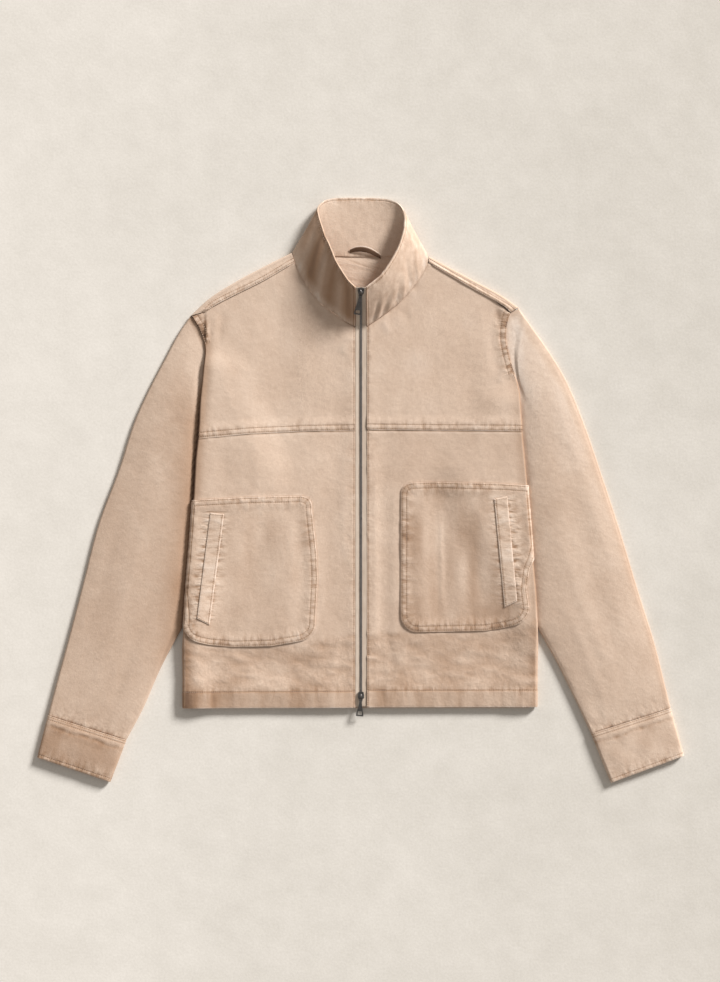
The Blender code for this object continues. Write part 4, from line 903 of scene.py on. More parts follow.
CROWN_UNDER = 4.0  # how far a sleeve's crown runs in under the body
CLEAR_OF_BODY = 1.0  # how far beside the body the right sleeve's crown starts
SHOULDER_Y, SHOULDER_FADE, SHOULDER_EASE = 118.0, 24.0, 20.0  # above there it rises over 20 mm
TOP_SHARES = crowded(64, True, True, 0.35)
BOTTOM_SHARES = np.linspace(1.0, 0.0, 16)
ARC_ANGLES = np.radians(np.linspace(75.0, -75.0, 7))
CUFF_WIDTH = 118.0  # mean width of a cuff


def tube_sheet(side, rows, relief_of, seam=None, follow=None, tuck=0.0):
    """A flattened tube from rows of its edges. relief_of(side, share across, length along, whole length, plan)
    raises its top. seam and follow bend its first rows along the armhole."""
    along = running((rows[:, 0:2] + rows[:, 2:4]) / 2)
    points, marks = [], []
    for i, row in enumerate(rows):
        outer, inner = row[0:2], row[2:4]
        height, crown, reach = row[4:7]
        width = np.linalg.norm(inner - outer)
        across = (inner - outer) / width
        radius = height / 2

        def place(share):
            at = mix(outer + across * radius, inner - across * radius, share[:, None])
            return at if seam is None else at + follow[i] * seam(share)

        top = place(TOP_SHARES)
        if i == 0:
            top[:, 0] -= tuck * np.sin(np.pi * TOP_SHARES) ** 0.3
        relief = relief_of(side, TOP_SHARES, np.full(len(TOP_SHARES), along[i]), along[-1], top)
        swollen = reach * width + CROWN_UNDER * smoothstep((0.98 - reach) / 0.06)
        if side is RIGHT and seam is not None:
            swollen = width * np.interp(-CLEAR_OF_BODY, read(side.fold, top[:, 1]) - top[:, 0], TOP_SHARES)
            eased = smoothstep((swollen - TOP_SHARES * width) / SHOULDER_EASE)
            crown = crown * mix(1.0, eased, smoothstep((top[:, 1] - SHOULDER_Y) / SHOULDER_FADE))
        swell = 2.0 * np.clip(TOP_SHARES * width / swollen, 0.0, 1.0) ** side.lean - 1.0
        top_z = height + crown * (1.0 - np.abs(swell) ** 2.5) ** 0.6
        top_z = top_z + relief.height * np.sin(np.pi * TOP_SHARES) ** 0.25
        arc, arc_z = across * (radius * np.cos(ARC_ANGLES))[:, None], radius + radius * np.sin(ARC_ANGLES)
        ends = place(np.array([0.0, 1.0]))
        plan = np.concatenate([top, ends[1] + arc, place(BOTTOM_SHARES), ends[0] - arc[::-1]])
        z = np.concatenate([top_z, arc_z, np.zeros(len(BOTTOM_SHARES)), arc_z[::-1]])
        points.append(signed(side, plan[:, 0], plan[:, 1], z))
        upper = relief.marks()
        marks.append(np.concatenate([upper, np.linspace(upper[-1], upper[0], len(z) - len(top_z))]))
    return Sheet(np.array(points), np.array(marks))


def armhole_bow(side):
    """How far the armhole seam lies off the straight line between its ends, as a function of share."""
    shares = np.linspace(0, 1, 65)
    seam = smooth_at(swapped(side.armhole), shares)
    offset = seam - mix(seam[0], seam[-1], shares[:, None])
    return lambda share: np.stack([np.interp(share, shares, offset[:, i]) for i in (0, 1)], axis=1)


def sleeve_relief(side, share, along, length, plan):
    relief = Relief(share.shape)
    out, y = plan[:, 0], plan[:, 1]
    position, left = along / length, length - along
    crease(relief, side.sleeve_bands, share, position, 0.12)
    # Uneven cloth, with painted shade over the whole sleeve.
    relief.raise_by(
        0.30 * noise(out / 40.0, y / 60.0, side.seed + 60) + 0.06 * noise(out / 14.0, y / 18.0, side.seed + 61),
        0.2 * noise(out / 24.0, y / 34.0, side.seed + 62) + side.sleeve_wear,
    )
    # Gathered into the cuff, with painted light and shade on the puckers and painted shade along the seam.
    ripple = noise(share * 13.0, left / 16.0, side.seed + 63)
    ripple = ripple + 0.6 * noise(share * 27.0, left / 9.0, side.seed + 64)
    near = fading(left, 11.0)
    relief.raise_by(0.45 * ripple * near - 0.5 * bell(left, 1.5), 0.4 * ripple * near - 0.4 * bell(left, 1.6))
    relief.gather(1.2 * fading(left, 7.0), share * CUFF_WIDTH, left)
    inner = smoothstep((share - 0.86) / 0.1) * smoothstep((position - 0.6) / 0.2)
    relief.raise_by(0.5 * inner * noise(left / 12.0, share * 9.0, side.seed + 65))
    # Sewn into the armhole, with painted light and shade on the puckers and painted shade along the seam.
    ripple = noise(y / 7.0, along / 14.0, side.seed + 66) * fading(along, 9.0)
    relief.raise_by(0.4 * ripple * smoothstep(along / 3.0), 0.3 * ripple + side.top_wear * bell(along - 1.0, 2.2))
    # Painted shade and a painted shadow beside the body, a painted highlight along the right one's edge near the
    # armhole, painted shade along the outer rim, and paler towards the shoulder.
    beside = out - read(side.fold, y)
    shaded = side.shade * bell(beside - side.shade_at, 32.0) * smoothstep((along - 20.0) / 60.0)
    relief.raise_by(0.0, shaded + side.contact * bell(beside, 3.0) * smoothstep((along - 8.0) / 40.0))
    if side is RIGHT:
        relief.raise_by(0.0, 0.6 * bell(beside - 3.0, 9.0) * smoothstep((y - 126.0) / 20.0))
    relief.raise_by(0.0, side.rim_wear * smoothstep((0.07 - share) / 0.06))
    relief.raise_by(0.0, side.upper_wear * smoothstep((0.42 - position) / 0.3))
    relief.height = relief.height * smoothstep((beside + 2.0) / 5.0)
    relief.crumple = relief.crumple + 0.35 + 0.6 * near
    return relief


def sleeve_sheet(side):
    spans = np.linspace(0.0, 0.06, 9)[:-1], np.linspace(0.06, 0.93, 108)[:-1], np.linspace(0.93, 1.0, 26)
    share = np.concatenate(spans)
    rows = smooth_at(side.sleeve, share)
    rows[0, 0:3:2] += SEAM_GAP
    follow = np.interp(share * (len(side.sleeve) - 1), np.arange(5), (1.0, 0.75, 0.45, 0.2, 0.0))
    return tube_sheet(side, rows, sleeve_relief, armhole_bow(side), follow, TUCK)


def cuff_relief(side, share, along, length, plan):
    relief = Relief(share.shape)
    around = share * CUFF_WIDTH
    sew_edge(relief, CUFF_TOP, along, around, side.seed + 70)
    # A dimple below the seam, with painted shade in it.
    ridge = 14.5 + 1.5 * noise(share * 6.0, 0.0, side.seed + 71)
    dimple = bell(along - ridge, 2.4) * (0.85 + 0.35 * noise(share * 15.0, 0.0, side.seed + 72))
    relief.raise_by(-0.6 * dimple + 0.3 * bell(along - 9.5, 3.0), -1.2 * dimple)
    relief.gather(0.9 * (1.0 - smoothstep((along - ridge - 1.0) / 3.0)), around, along)
    sew_edge(relief, CUFF_END, length - along, around, side.seed + 73)
    # Uneven cloth, with painted shade over the cuff, deeper beyond the dimple and on the left one.
    relief.raise_by(
        0.5 * noise(share * 5.0, along / 24.0, side.seed + 74),
        0.45 * noise(share * 7.0, along / 18.0, side.seed + 75)
        + side.cuff_wear * (0.55 + 0.45 * smoothstep((along - ridge) / 3.0)),
    )
    relief.crumple = relief.crumple + 0.35
    return relief


def cuff_sheet(side):
    return tube_sheet(side, smooth_at(side.cuff, np.linspace(0.0, 1.0, 40)), cuff_relief)


# ---------------------------------------------------------------- back and shoulder strips

STRIP_COUNT, STRIP_LENGTH = 96, 180.0


def strip_lines(side, count):
    """The strip's outer edge, its seam, and the way in from one to the other."""
    rows = smooth_at(side.strip, np.linspace(0.0, 1.0, count))
    edge, seam = rows[:, 0:2], rows[:, 2:4]
    return edge, seam, unit(seam - edge)


def strip_sheet(side):
    """The back's cloth as it rolls forward over the shoulder and is sewn over the chest's edge."""
    radius = FRONT_TOP / 2
    edge, seam, inward = strip_lines(side, STRIP_COUNT)
    start = edge + inward * radius
    columns = [signed(side, start[:, 0], start[:, 1])]
    for angle in np.radians(np.linspace(18.0, 180.0, 10)):
        at = start - inward * radius * math.sin(angle)
        columns.append(signed(side, at[:, 0], at[:, 1], radius * (1 - math.cos(angle))))
    along = np.linspace(0.0, STRIP_LENGTH, STRIP_COUNT)
    width = np.linalg.norm(seam - start, axis=1)
    # Painted shade on the right strip's roll, which faces the light, and a little painted light on the left one's.
    plain = Relief(STRIP_COUNT)
    plain.raise_by(0.0, side.strip_wear)
    marks = [plain.marks()] * len(columns)
    lap = smoothstep(along / 14.0) * smoothstep((STRIP_LENGTH - along) / 10.0)
    for share in crowded(18, False, True, 0.4)[1:]:
        at = mix(start, seam, share)
        relief = Relief(STRIP_COUNT)
        sew_edge(relief, STRIP_BAND, width * (1.0 - share), along, side.seed + 80)
        relief.raise_by(0.2 * noise(along / 22.0, share * 2.0, side.seed + 82) * share)
        lift = (CANVAS_THICK + SEAM_GAP) * smoothstep((share - 0.1) / 0.6) * lap
        columns.append(signed(side, at[:, 0], at[:, 1], FRONT_TOP + lift + np.maximum(relief.height * share, -0.1)))
        relief.wear, relief.crumple = relief.wear * share, relief.crumple + 0.3
        marks.append(relief.marks())
    from_left = np.s_[:, :: -side.sign]
    return Sheet(np.array(columns)[from_left], np.array(marks)[from_left])


BACK_NECK_START = 12  # the row of the collar's tables from which it stands on the back


def back_edges(side, sleeve, strip):
    """The back's edge on one side, from the hem up the side seam and the armhole, how many of its points lie on
    the seam, and its top edge, from the shoulder in to the centre."""
    seam = smooth_at(swapped(SIDE_SEAM)[::-1], np.linspace(0, 1, 46))
    seam[:, 0] -= SEAM_GAP / 2
    bottom = len(TOP_SHARES) + len(ARC_ANGLES)
    armhole = sleeve.points[0, bottom : bottom + len(BOTTOM_SHARES) - 1, 0:2] * (side.sign, 1.0)
    armhole[:, 0] -= 2 * SEAM_GAP
    edge = np.concatenate([seam[:-1], armhole, [side.strip[0][0:2]]])
    neck = [(row[0], row[1] + NECK_LAP) for row in side.collar[BACK_NECK_START:]]
    neck = smooth_at(neck, np.linspace(0.0, 1.0, 24))
    top = np.concatenate([strip.points[0][:: -side.sign], signed(side, neck[:, 0], neck[:, 1])])
    return signed(side, edge[:, 0], edge[:, 1]), len(seam) - 1, top


def back_sheets(sleeves):
    """The back, and the two strips that are cut in one with it."""
    strips = [strip_sheet(side) for side in SIDES]
    (left, rows, top), (right, _, top_right) = (
        back_edges(side, sleeve, strip) for side, sleeve, strip in zip(SIDES, sleeves, strips)
    )
    top = np.concatenate([top, top_right[::-1][1:]])
    left[-1], right[-1] = top[0], top[-1]
    share = ((top[:, 0] - top[0, 0]) / (top[-1, 0] - top[0, 0]))[:, None]
    grid = []
    for i in range(len(left)):
        rise = smoothstep((i - rows) / (len(left) - 1 - rows))
        grid.append(mix(left[i], right[i], share) + rise * (top - mix(left[-1], right[-1], share)))
    grid[-1] = top
    points = np.array(grid)
    x, y = points[..., 0], points[..., 1]
    plain = Relief(x.shape)
    plain.crumple = plain.crumple + 0.3
    plain.gather(0.9 * bell(x, 90.0) * smoothstep((y - 250.0) / 40.0), y * 0.9 + 0.25 * x, x * 0.35)
    return [Sheet(points, plain.marks()), *strips]


# ---------------------------------------------------------------- collar and hanger loop

SIDEWAYS_COLUMNS = [0, 3]  # of the collar's tables
LEFT_FACE, RIGHT_FACE = 0.46, 0.54  # shares round the collar where its faces beside the zip end


def collar_sheet():
    """The collar from its seam up to its rim, with its creases along the normals of its smooth form."""
    left, right = np.array(LEFT_COLLAR), np.array(RIGHT_COLLAR)
    left[:, SIDEWAYS_COLUMNS] *= -1
    rows = np.concatenate([left, right[::-1][1:]])
    knots = running((rows[:, 0:3] + rows[:, 3:6]) / 2)
    around, length = np.linspace(0.0, 1.0, 230), knots[-1]
    rows = smooth_at(rows, around, knots)
    up = crowded(40, True, True, 0.3)
    seam, rim, bulge = rows[:, 0:3], rows[:, 3:6], rows[:, 6]
    base = mix(seam, rim, up[:, None, None])
    base[..., 2] = np.maximum(base[..., 2] + bulge * (4 * up * (1 - up))[:, None], 0.0)
    normal = unit(np.cross(np.gradient(base, axis=1), np.gradient(base, axis=0)))
    u, v = np.meshgrid(around, up)
    height, along = np.linalg.norm(rim - seam, axis=1), u * length
    above, below = v * height, (1.0 - v) * height
    on_left, on_right = smoothstep((LEFT_FACE - u) / 0.1), smoothstep((u - RIGHT_FACE) / 0.1)
    relief = Relief(u.shape)
    # Creases, with painted light on their ridges and painted shade in their troughs, stronger on the left face.
    for fold in COLLAR_CREASES:
        lean = mix(fold.out_a, fold.out_b, np.clip((v - fold.y_a) / (fold.y_b - fold.y_a), 0, 1))
        fade = smoothstep((v - fold.y_a) / 0.15 + 0.4) * smoothstep((fold.y_b - v) / 0.35)
        ridge = fold.depth * bell(u - lean, fold.width) * fade
        relief.raise_by(ridge, mix(0.45, 0.8, on_left) * ridge)
    sew_edge(relief, RIM_BAND, below, along, 90)
    # Puckers along the neck seam, with painted shade along it.
    ripple = noise(along / 9.0, v * 3.0, 92) * fading(above, 10.0)
    relief.raise_by(0.35 * ripple - 0.3 * bell(above, 1.6), 0.3 * ripple - 0.5 * bell(above, 1.6))
    relief.gather(0.9 * fading(above, 7.0), along, above)
    front = np.minimum(u, 1.0 - u) * length
    relief.raise_by(-0.2 * bell(front - COLLAR_ROW, 1.2) - 0.4 * bell(front, 1.2))
    relief.sew(front - COLLAR_ROW)
    mottled = noise(along / 7.0, v * 9.0, 94) + 0.7 * noise(along / 3.5, v * 17.0, 95)
    relief.raise_by(0.35 * noise(along / 34.0, v * 2.0, 93), 0.4 * mottled * smoothstep((u - 0.6) / 0.1))
    # Painted shade on the faces beside the zip, deep on the left one, and a pale rim, partly from wearing and partly
    # a painted highlight.
    shaded = (1.9 * on_left + 0.5 * on_right) * smoothstep((base[..., 2] - 7.0) / 10.0)
    relief.raise_by(0.0, 0.7 * bell(below, 0.9) - shaded)
    relief.crumple = relief.crumple + 0.4
    points = base + normal * (relief.height * smoothstep((base[..., 2] - 3.0) / 6.0))[..., None]
    points[..., 2] = np.maximum(points[..., 2], 0.0)
    return Sheet(points, relief.marks())


def hanger_sheet():
    """The loop's slightly arched band, tilted so that its far edge is higher, and dark up to there."""
    x, y, z, width = smooth_at(HANGER, np.linspace(0.0, 1.0, 40)).T
    offset = np.linspace(-1.0, 1.0, 9)[:, None]
    reach = offset * width / 2
    points = np.broadcast_arrays(x, y + reach, z + 0.25 * reach + 0.3 * (1 - offset**2))
    relief = Relief(reach.shape)
    # Painted shadow under the loop over most of its width, and a painted highlight along its far edge.
    relief.raise_by(0.0, mix(-4.6, 1.2, smoothstep((offset - 0.45) / 0.25)))
    return Sheet(np.stack(points, axis=-1), relief.marks())


# ---------------------------------------------------------------- zip

ZIP_START, ZIP_END = -292.0, 279.0  # Y of the teeth's ends


def tape_line(side):
    """The tape's way up the front and the collar, as y and z, and how many of its points lie on the front."""
    row = side.collar[0]
    y = np.linspace(side.lines["hem"][0][1] + 1.5, row[1] - 3.0, 180)
    z = front_height(side, np.full_like(y, ZIP_EDGE), y) - TAPE_DROP
    run, rise, bulge, share = row[4] - row[1], row[5] - row[2], row[6], np.linspace(0.06, 1.0, 40)
    lean = math.atan2(rise, run)
    collar_y = row[1] + run * share + TAPE_DROP * math.sin(lean)
    collar_z = row[2] + rise * share + bulge * 4 * share * (1 - share) - TAPE_DROP * math.cos(lean)
    return np.concatenate([y, collar_y]), np.concatenate([z, collar_z]), len(y)


def tape_sheet(side):
    y, z, flat = tape_line(side)
    edge = np.where(np.arange(len(y)) < flat, TAPE_EDGE, COLLAR_TAPE_EDGE)
    share = np.linspace(0.0, 1.0, 7)[:, None]
    relief = Relief((len(share), len(y)))
    # Mottled, with painted shade over the right tape, under the right front's edge.
    relief.raise_by(
        0.12 * noise(y / 14.0, share * 2.0, side.seed + 95) * np.sin(np.pi * share),
        0.4 * noise(y / 9.0, share * 3.0, side.seed + 96) + side.tape_wear,
    )
    relief.crumple = relief.crumple + 0.15
    return Sheet(signed(side, mix(SEAM_GAP / 2, edge, share), y, z - 0.05 + relief.height), relief.marks())


# ---------------------------------------------------------------- meshes

NUMBER_MARKS, VECTOR_MARKS = ("wear", "crumple"), ("sewing", "rows_a", "rows_b")
BEVEL_ANGLE = math.radians(55.0)


def add_object(name, mesh):
    obj = bpy.data.objects.new(name, mesh)
    bpy.context.scene.collection.objects.link(obj)
    return obj


def grid_faces(rows, columns, first=0, closed=False, flip=False):
    """The faces of a grid of points, and the grid's own place of each of their corners."""
    faces, corners = [], []
    for i in range(rows - 1):
        for k in range(columns if closed else columns - 1):
            places = [(i, k), (i, k + 1), (i + 1, k + 1), (i + 1, k)][:: -1 if flip else 1]
            faces.append([first + row * columns + column % columns for row, column in places])
            corners += places
    return faces, corners


def make_cloth(name, sheets, thick, material, flip, closed=False, edge=EDGE_ROUND):
    """A sheet of cloth through grids of points on its outer face, with its thickness behind it."""
    points, faces, lengths = [], [], []
    for sheet in sheets:
        made, corners = grid_faces(*sheet.points.shape[:2], len(points), closed, flip)
        wide = np.concatenate([sheet.points, sheet.points[:, :1]], axis=1) if closed else sheet.points
        across, along = running(wide, 1) * MM, running(wide, 0) * MM
        faces += made
        lengths += [(across[place], along[place]) for place in corners]
        points += (sheet.points.reshape(-1, 3) * MM).tolist()
    mesh = bpy.data.meshes.new(name)
    mesh.from_pydata(points, [], faces)
    mesh.uv_layers.new(name="weave").data.foreach_set("uv", np.array(lengths, np.float32).ravel())
    marks = np.concatenate([sheet.marks.reshape(-1, sheet.marks.shape[-1]) for sheet in sheets]).astype(np.float32)
    for i, kind in enumerate(NUMBER_MARKS):
        mesh.attributes.new(kind, "FLOAT", "POINT").data.foreach_set("value", np.ascontiguousarray(marks[:, i]))
    for i, kind in enumerate(VECTOR_MARKS):
        first = len(NUMBER_MARKS) + 3 * i
        group = np.ascontiguousarray(marks[:, first : first + 3])
        mesh.attributes.new(kind, "FLOAT_VECTOR", "POINT").data.foreach_set("vector", group.ravel())
    mesh.materials.append(material)
    mesh.shade_smooth()
    obj = add_object(name, mesh)
    modifiers = [
        ("thickness", "SOLIDIFY", {"thickness": thick * MM, "offset": -1.0, "use_quality_normals": True}),
        ("edge", "BEVEL", {"width": edge * MM, "segments": 2, "limit_method": "ANGLE", "angle_limit": BEVEL_ANGLE}),
    ]
    if len(sheets) > 1:
        modifiers.insert(0, ("weld", "WELD", {"merge_threshold": 0.02 * MM}))
    for label, kind, settings in modifiers:
        modifier = obj.modifiers.new(label, kind)
        for setting, value in settings.items():
            setattr(modifier, setting, value)
    return obj


# ---------------------------------------------------------------- materials


class Value:
    """A number in a shader, with sums on it written as Python."""

    def __init__(self, nodes, socket):
        self.nodes, self.socket = nodes, socket

    def math(self, operation, *values):
        return self.nodes.add("ShaderNodeMath", {"operation": operation}, dict(enumerate(values))).value()

    def __add__(self, other):
        return self.math("ADD", self, other)

    __radd__ = __add__

    def __sub__(self, other):
        return self.math("SUBTRACT", self, other)

    def __rsub__(self, other):
        return self.math("SUBTRACT", other, self)

    def __mul__(self, other):
        return self.math("MULTIPLY", self, other)

    __rmul__ = __mul__

    def clamped(self, low=0.0, high=1.0):
        return self.math("MINIMUM", self.math("MAXIMUM", self, low), high)

    def size(self):
        return self.math("ABSOLUTE", self)


class Node:
    """A node, with its outputs by name or number as sockets or as values."""

    def __init__(self, nodes, node):
        self.nodes, self.node = nodes, node

    def out(self, name=0):
        return self.node.outputs[name]

    def value(self, name=0):
        return Value(self.nodes, self.out(name))

    def parts(self, name=0):
        """The three numbers of a vector."""
        split = self.nodes.add("ShaderNodeSeparateXYZ", None, {0: self.out(name)})
        return [split.value(axis) for axis in "XYZ"]


class Nodes:
    """A node tree, to which every node is added by one method."""

    def __init__(self, tree):
        self.tree = tree

    def add(self, kind, settings=None, inputs=None):
        node = self.tree.nodes.new(kind)
        for name, value in (settings or {}).items():
            setattr(node, name, value)
        for name, value in (inputs or {}).items():
            value = value.socket if isinstance(value, Value) else value
            if isinstance(value, bpy.types.NodeSocket):
                self.tree.links.new(value, node.inputs[name])
            else:
                node.inputs[name].default_value = value
        return Node(self, node)

    def place(self):
        return self.add("ShaderNodeTexCoord").out("Object")

    def noise(self, where, scale, detail=2.0, roughness=0.5):
        """Noise about 0, from about -0.5 to 0.5."""
        inputs = {"Vector": where, "Scale": scale, "Detail": detail, "Roughness": roughness}
        return self.add("ShaderNodeTexNoise", None, inputs).value("Fac") - 0.5

    def blend(self, factor, a, b):
        """A mix of two colours."""
        settings = {"data_type": "RGBA", "clamp_factor": True}
        return self.add("ShaderNodeMix", settings, {0: factor, 6: a, 7: b}).out(2)

    def attribute(self, name):
        return self.add("ShaderNodeAttribute", {"attribute_name": name})

    def vector(self, x, y, z):
        return self.add("ShaderNodeCombineXYZ", None, {0: x, 1: y, 2: z}).out()


def material_of(name, look):
    """A material from a function that gives its colour, its height in metres, and the shader's other inputs."""
    material = bpy.data.materials.new(name)
    material.use_nodes = True
    material.node_tree.nodes.clear()
    nodes = Nodes(material.node_tree)
    base, height, inputs = look(nodes)
    bump = nodes.add("ShaderNodeBump", None, {"Strength": 1.0, "Distance": 1.0, "Height": height})
    inputs = {"Base Color": base, "Normal": bump.out("Normal"), **inputs}
    shader = nodes.add("ShaderNodeBsdfPrincipled", None, inputs)
    nodes.add("ShaderNodeOutputMaterial", None, {"Surface": shader.out("BSDF")})
    return material


def colour(r, g, b):
    return (r, g, b, 1.0)


GROOVE_HALF = 1.1  # half the width of the groove that a row of stitches makes
# The deepest painted shadow, for crevices and the gaps under other pieces.
DEEPEST_SHADE = colour(0.075, 0.036, 0.02)
# A cloth's colours: of painted shade, of its deep, plain and pale tones, and of wearing with painted light; then its
# relief's depth and its weave's pitch.
Cloth = namedtuple("Cloth", "dark deep plain pale worn relief weave_pitch")
CANVAS_LOOK = Cloth(
    colour(0.375, 0.224, 0.137), colour(0.47, 0.32, 0.225), colour(0.715, 0.548, 0.43), colour(0.84, 0.67, 0.54),
    colour(0.97, 0.86, 0.77), 1.0, 0.95,
)
TAPE_LOOK = Cloth(
    colour(0.42, 0.31, 0.23), colour(0.56, 0.44, 0.34), colour(0.70, 0.585, 0.48), colour(0.76, 0.65, 0.55),
    colour(0.80, 0.70, 0.60), 0.4, 0.6,
)


def cloth_look(nodes, cloth):
    """Washed cotton: cloudy colour, pale ridges and dark troughs, a plain weave, puckers and stitched grooves."""
    place = nodes.place()
    weave = nodes.add("ShaderNodeUVMap", {"uv_map": "weave"})
    wear, crumple = (nodes.attribute(kind).value("Fac") for kind in NUMBER_MARKS)
    (pull, along, away), *rows = (nodes.attribute(kind).parts("Vector") for kind in VECTOR_MARKS)
    groove = 0.0
    for row in rows[0] + rows[1]:
        groove = groove + (1.0 - row.size() * (1.0 / GROOVE_HALF)).clamped()
    pinch = nodes.noise(nodes.vector(along * 0.22, away * 0.07, 0.5), 1.0, 1.5)
    pinch = (pinch * 3.2).clamped(-1.0, 1.0) * pull * 0.3
    clouds, mottle = nodes.noise(place, 9.0, 3.0, 0.55), nodes.noise(place, 42.0, 3.0, 0.6)
    fleck, soft = nodes.noise(place, 230.0, 2.0, 0.6), nodes.noise(place, 85.0)
    grain = nodes.noise(weave.out("UV"), 640.0, 2.0, 0.7)
    x, y, _ = weave.parts()
    frequency = 2 * math.pi / (cloth.weave_pitch * MM)
    warp, weft = ((length * frequency).math("SINE", length * frequency) for length in (x, y))

    shade = clouds * 1.0 + 0.5 * mottle + fleck * (1.1 * crumple + 0.35) + 0.8 * grain + 0.5
    base = nodes.blend(0.5, nodes.blend(shade.clamped(), cloth.deep, cloth.pale), cloth.plain)
    # Paler with wearing and painted highlights, and on the painted ridges of puckers.
    base = nodes.blend((0.42 * wear + wear * fleck * 0.4 + 0.6 * pinch).clamped(), base, cloth.worn)
    # Painted shade and shadow: from the marks, in puckers, stitched grooves and crumples, darkest in crevices.
    shadow = -0.36 * wear + -1.7 * pinch + groove * (0.8 * fleck + 0.72) + soft * crumple * -0.35
    base = nodes.blend(shadow.clamped(0.0, 0.9), base, cloth.dark)
    base = nodes.blend((shadow - 0.9).clamped(0.0, 0.9), base, DEEPEST_SHADE)
    deep = MM * cloth.relief
    height = (
        warp * weft * (0.03 * deep) + grain * (0.14 * deep) + fleck * (0.4 * crumple + 0.1) * deep
        + mottle * (0.36 * deep) + soft * crumple * (1.1 * deep) + pinch * (0.62 * deep) - groove * (0.26 * deep)
    )
    sheen = {"Specular IOR Level": 0.18, "Sheen Weight": 0.10, "Sheen Roughness": 0.55}
    return base, height, {"Roughness": (0.9 + fleck * 0.1).clamped(), **sheen}


def metal_look(nodes, dark, pale, rough):
    """Dark plated metal, with soft streaks and rubbed high spots."""
    place = nodes.place()
    cloud, fine = nodes.noise(place, 130.0, 3.0, 0.7), nodes.noise(place, 1900.0, 2.0, 0.6)
    pointed = nodes.add("ShaderNodeNewGeometry").value("Pointiness") - 0.5
    base = nodes.blend((0.8 * cloud + 4.0 * pointed + 0.35).clamped(), dark, pale)
    roughness = (0.3 * cloud + 0.2 * fine + rough).clamped(0.08, 0.9)
    return base, fine * (0.02 * MM) + cloud * (0.05 * MM), {"Metallic": 0.92, "Roughness": roughness}


def thread_look(nodes):
    place = nodes.place()
    clouds, twist = nodes.noise(place, 60.0), nodes.noise(place, 2400.0, 2.0, 0.6)
    shade = 1.2 * clouds + 0.5 * twist + 0.5
    base = nodes.blend(shade.clamped(), colour(0.50, 0.35, 0.25), colour(0.72, 0.55, 0.42))
    return base, twist * (0.05 * MM), {"Roughness": 0.85, "Specular IOR Level": 0.2}


def floor_look(nodes):
    place = nodes.place()
    clouds, mottle = nodes.noise(place, 3.5, 4.0, 0.6), nodes.noise(place, 22.0, 5.0, 0.65)
    speck = nodes.noise(place, 300.0, 2.0, 0.6)
    across = nodes.add("ShaderNodeSeparateXYZ", None, {0: place}).value("X")
    # Paler to the left: painted light, falling off from left to right across the floor.
    shade = -0.55 * across + 0.8 * clouds + 0.9 * mottle + 0.9 * speck + 0.5
    base = nodes.blend(shade.clamped(), colour(0.69, 0.65, 0.59), colour(0.86, 0.815, 0.755))
    height = mottle * (0.35 * MM) + speck * (0.05 * MM)
    return base, height, {"Roughness": 0.92, "Specular IOR Level": 0.15}


CANVAS = material_of("washed_canvas", lambda nodes: cloth_look(nodes, CANVAS_LOOK))
THREAD = material_of("canvas_thread", thread_look)
TAPE = material_of("cream_tape", lambda nodes: cloth_look(nodes, TAPE_LOOK))
DARK_METAL, PALE_METAL = colour(0.055, 0.052, 0.052), colour(0.30, 0.285, 0.275)
DARK_TEETH, PALE_TEETH = colour(0.055, 0.05, 0.05), colour(0.33, 0.32, 0.32)
GUNMETAL = material_of("gunmetal", lambda nodes: metal_look(nodes, DARK_METAL, PALE_METAL, 0.34))
TEETH_METAL = material_of("zip_teeth_metal", lambda nodes: metal_look(nodes, DARK_TEETH, PALE_TEETH, 0.42))

# ---------------------------------------------------------------- repeated pieces, by Geometry Nodes


def path_object(name, lines):
    """Paths as edges, with the direction out of the cloth at each point."""
    points, edges, ups = [], [], []
    for places, normals in lines:
        edges += [(len(points) + i, len(points) + i + 1) for i in range(len(places) - 1)]
        points += [tuple(place * MM) for place in places]
        ups += [value for normal in normals for value in normal]
    mesh = bpy.data.meshes.new(name)
    mesh.from_pydata(points, edges, [])
    mesh.attributes.new("up", "FLOAT_VECTOR", "POINT").data.foreach_set("vector", ups)
    return add_object(name, mesh)


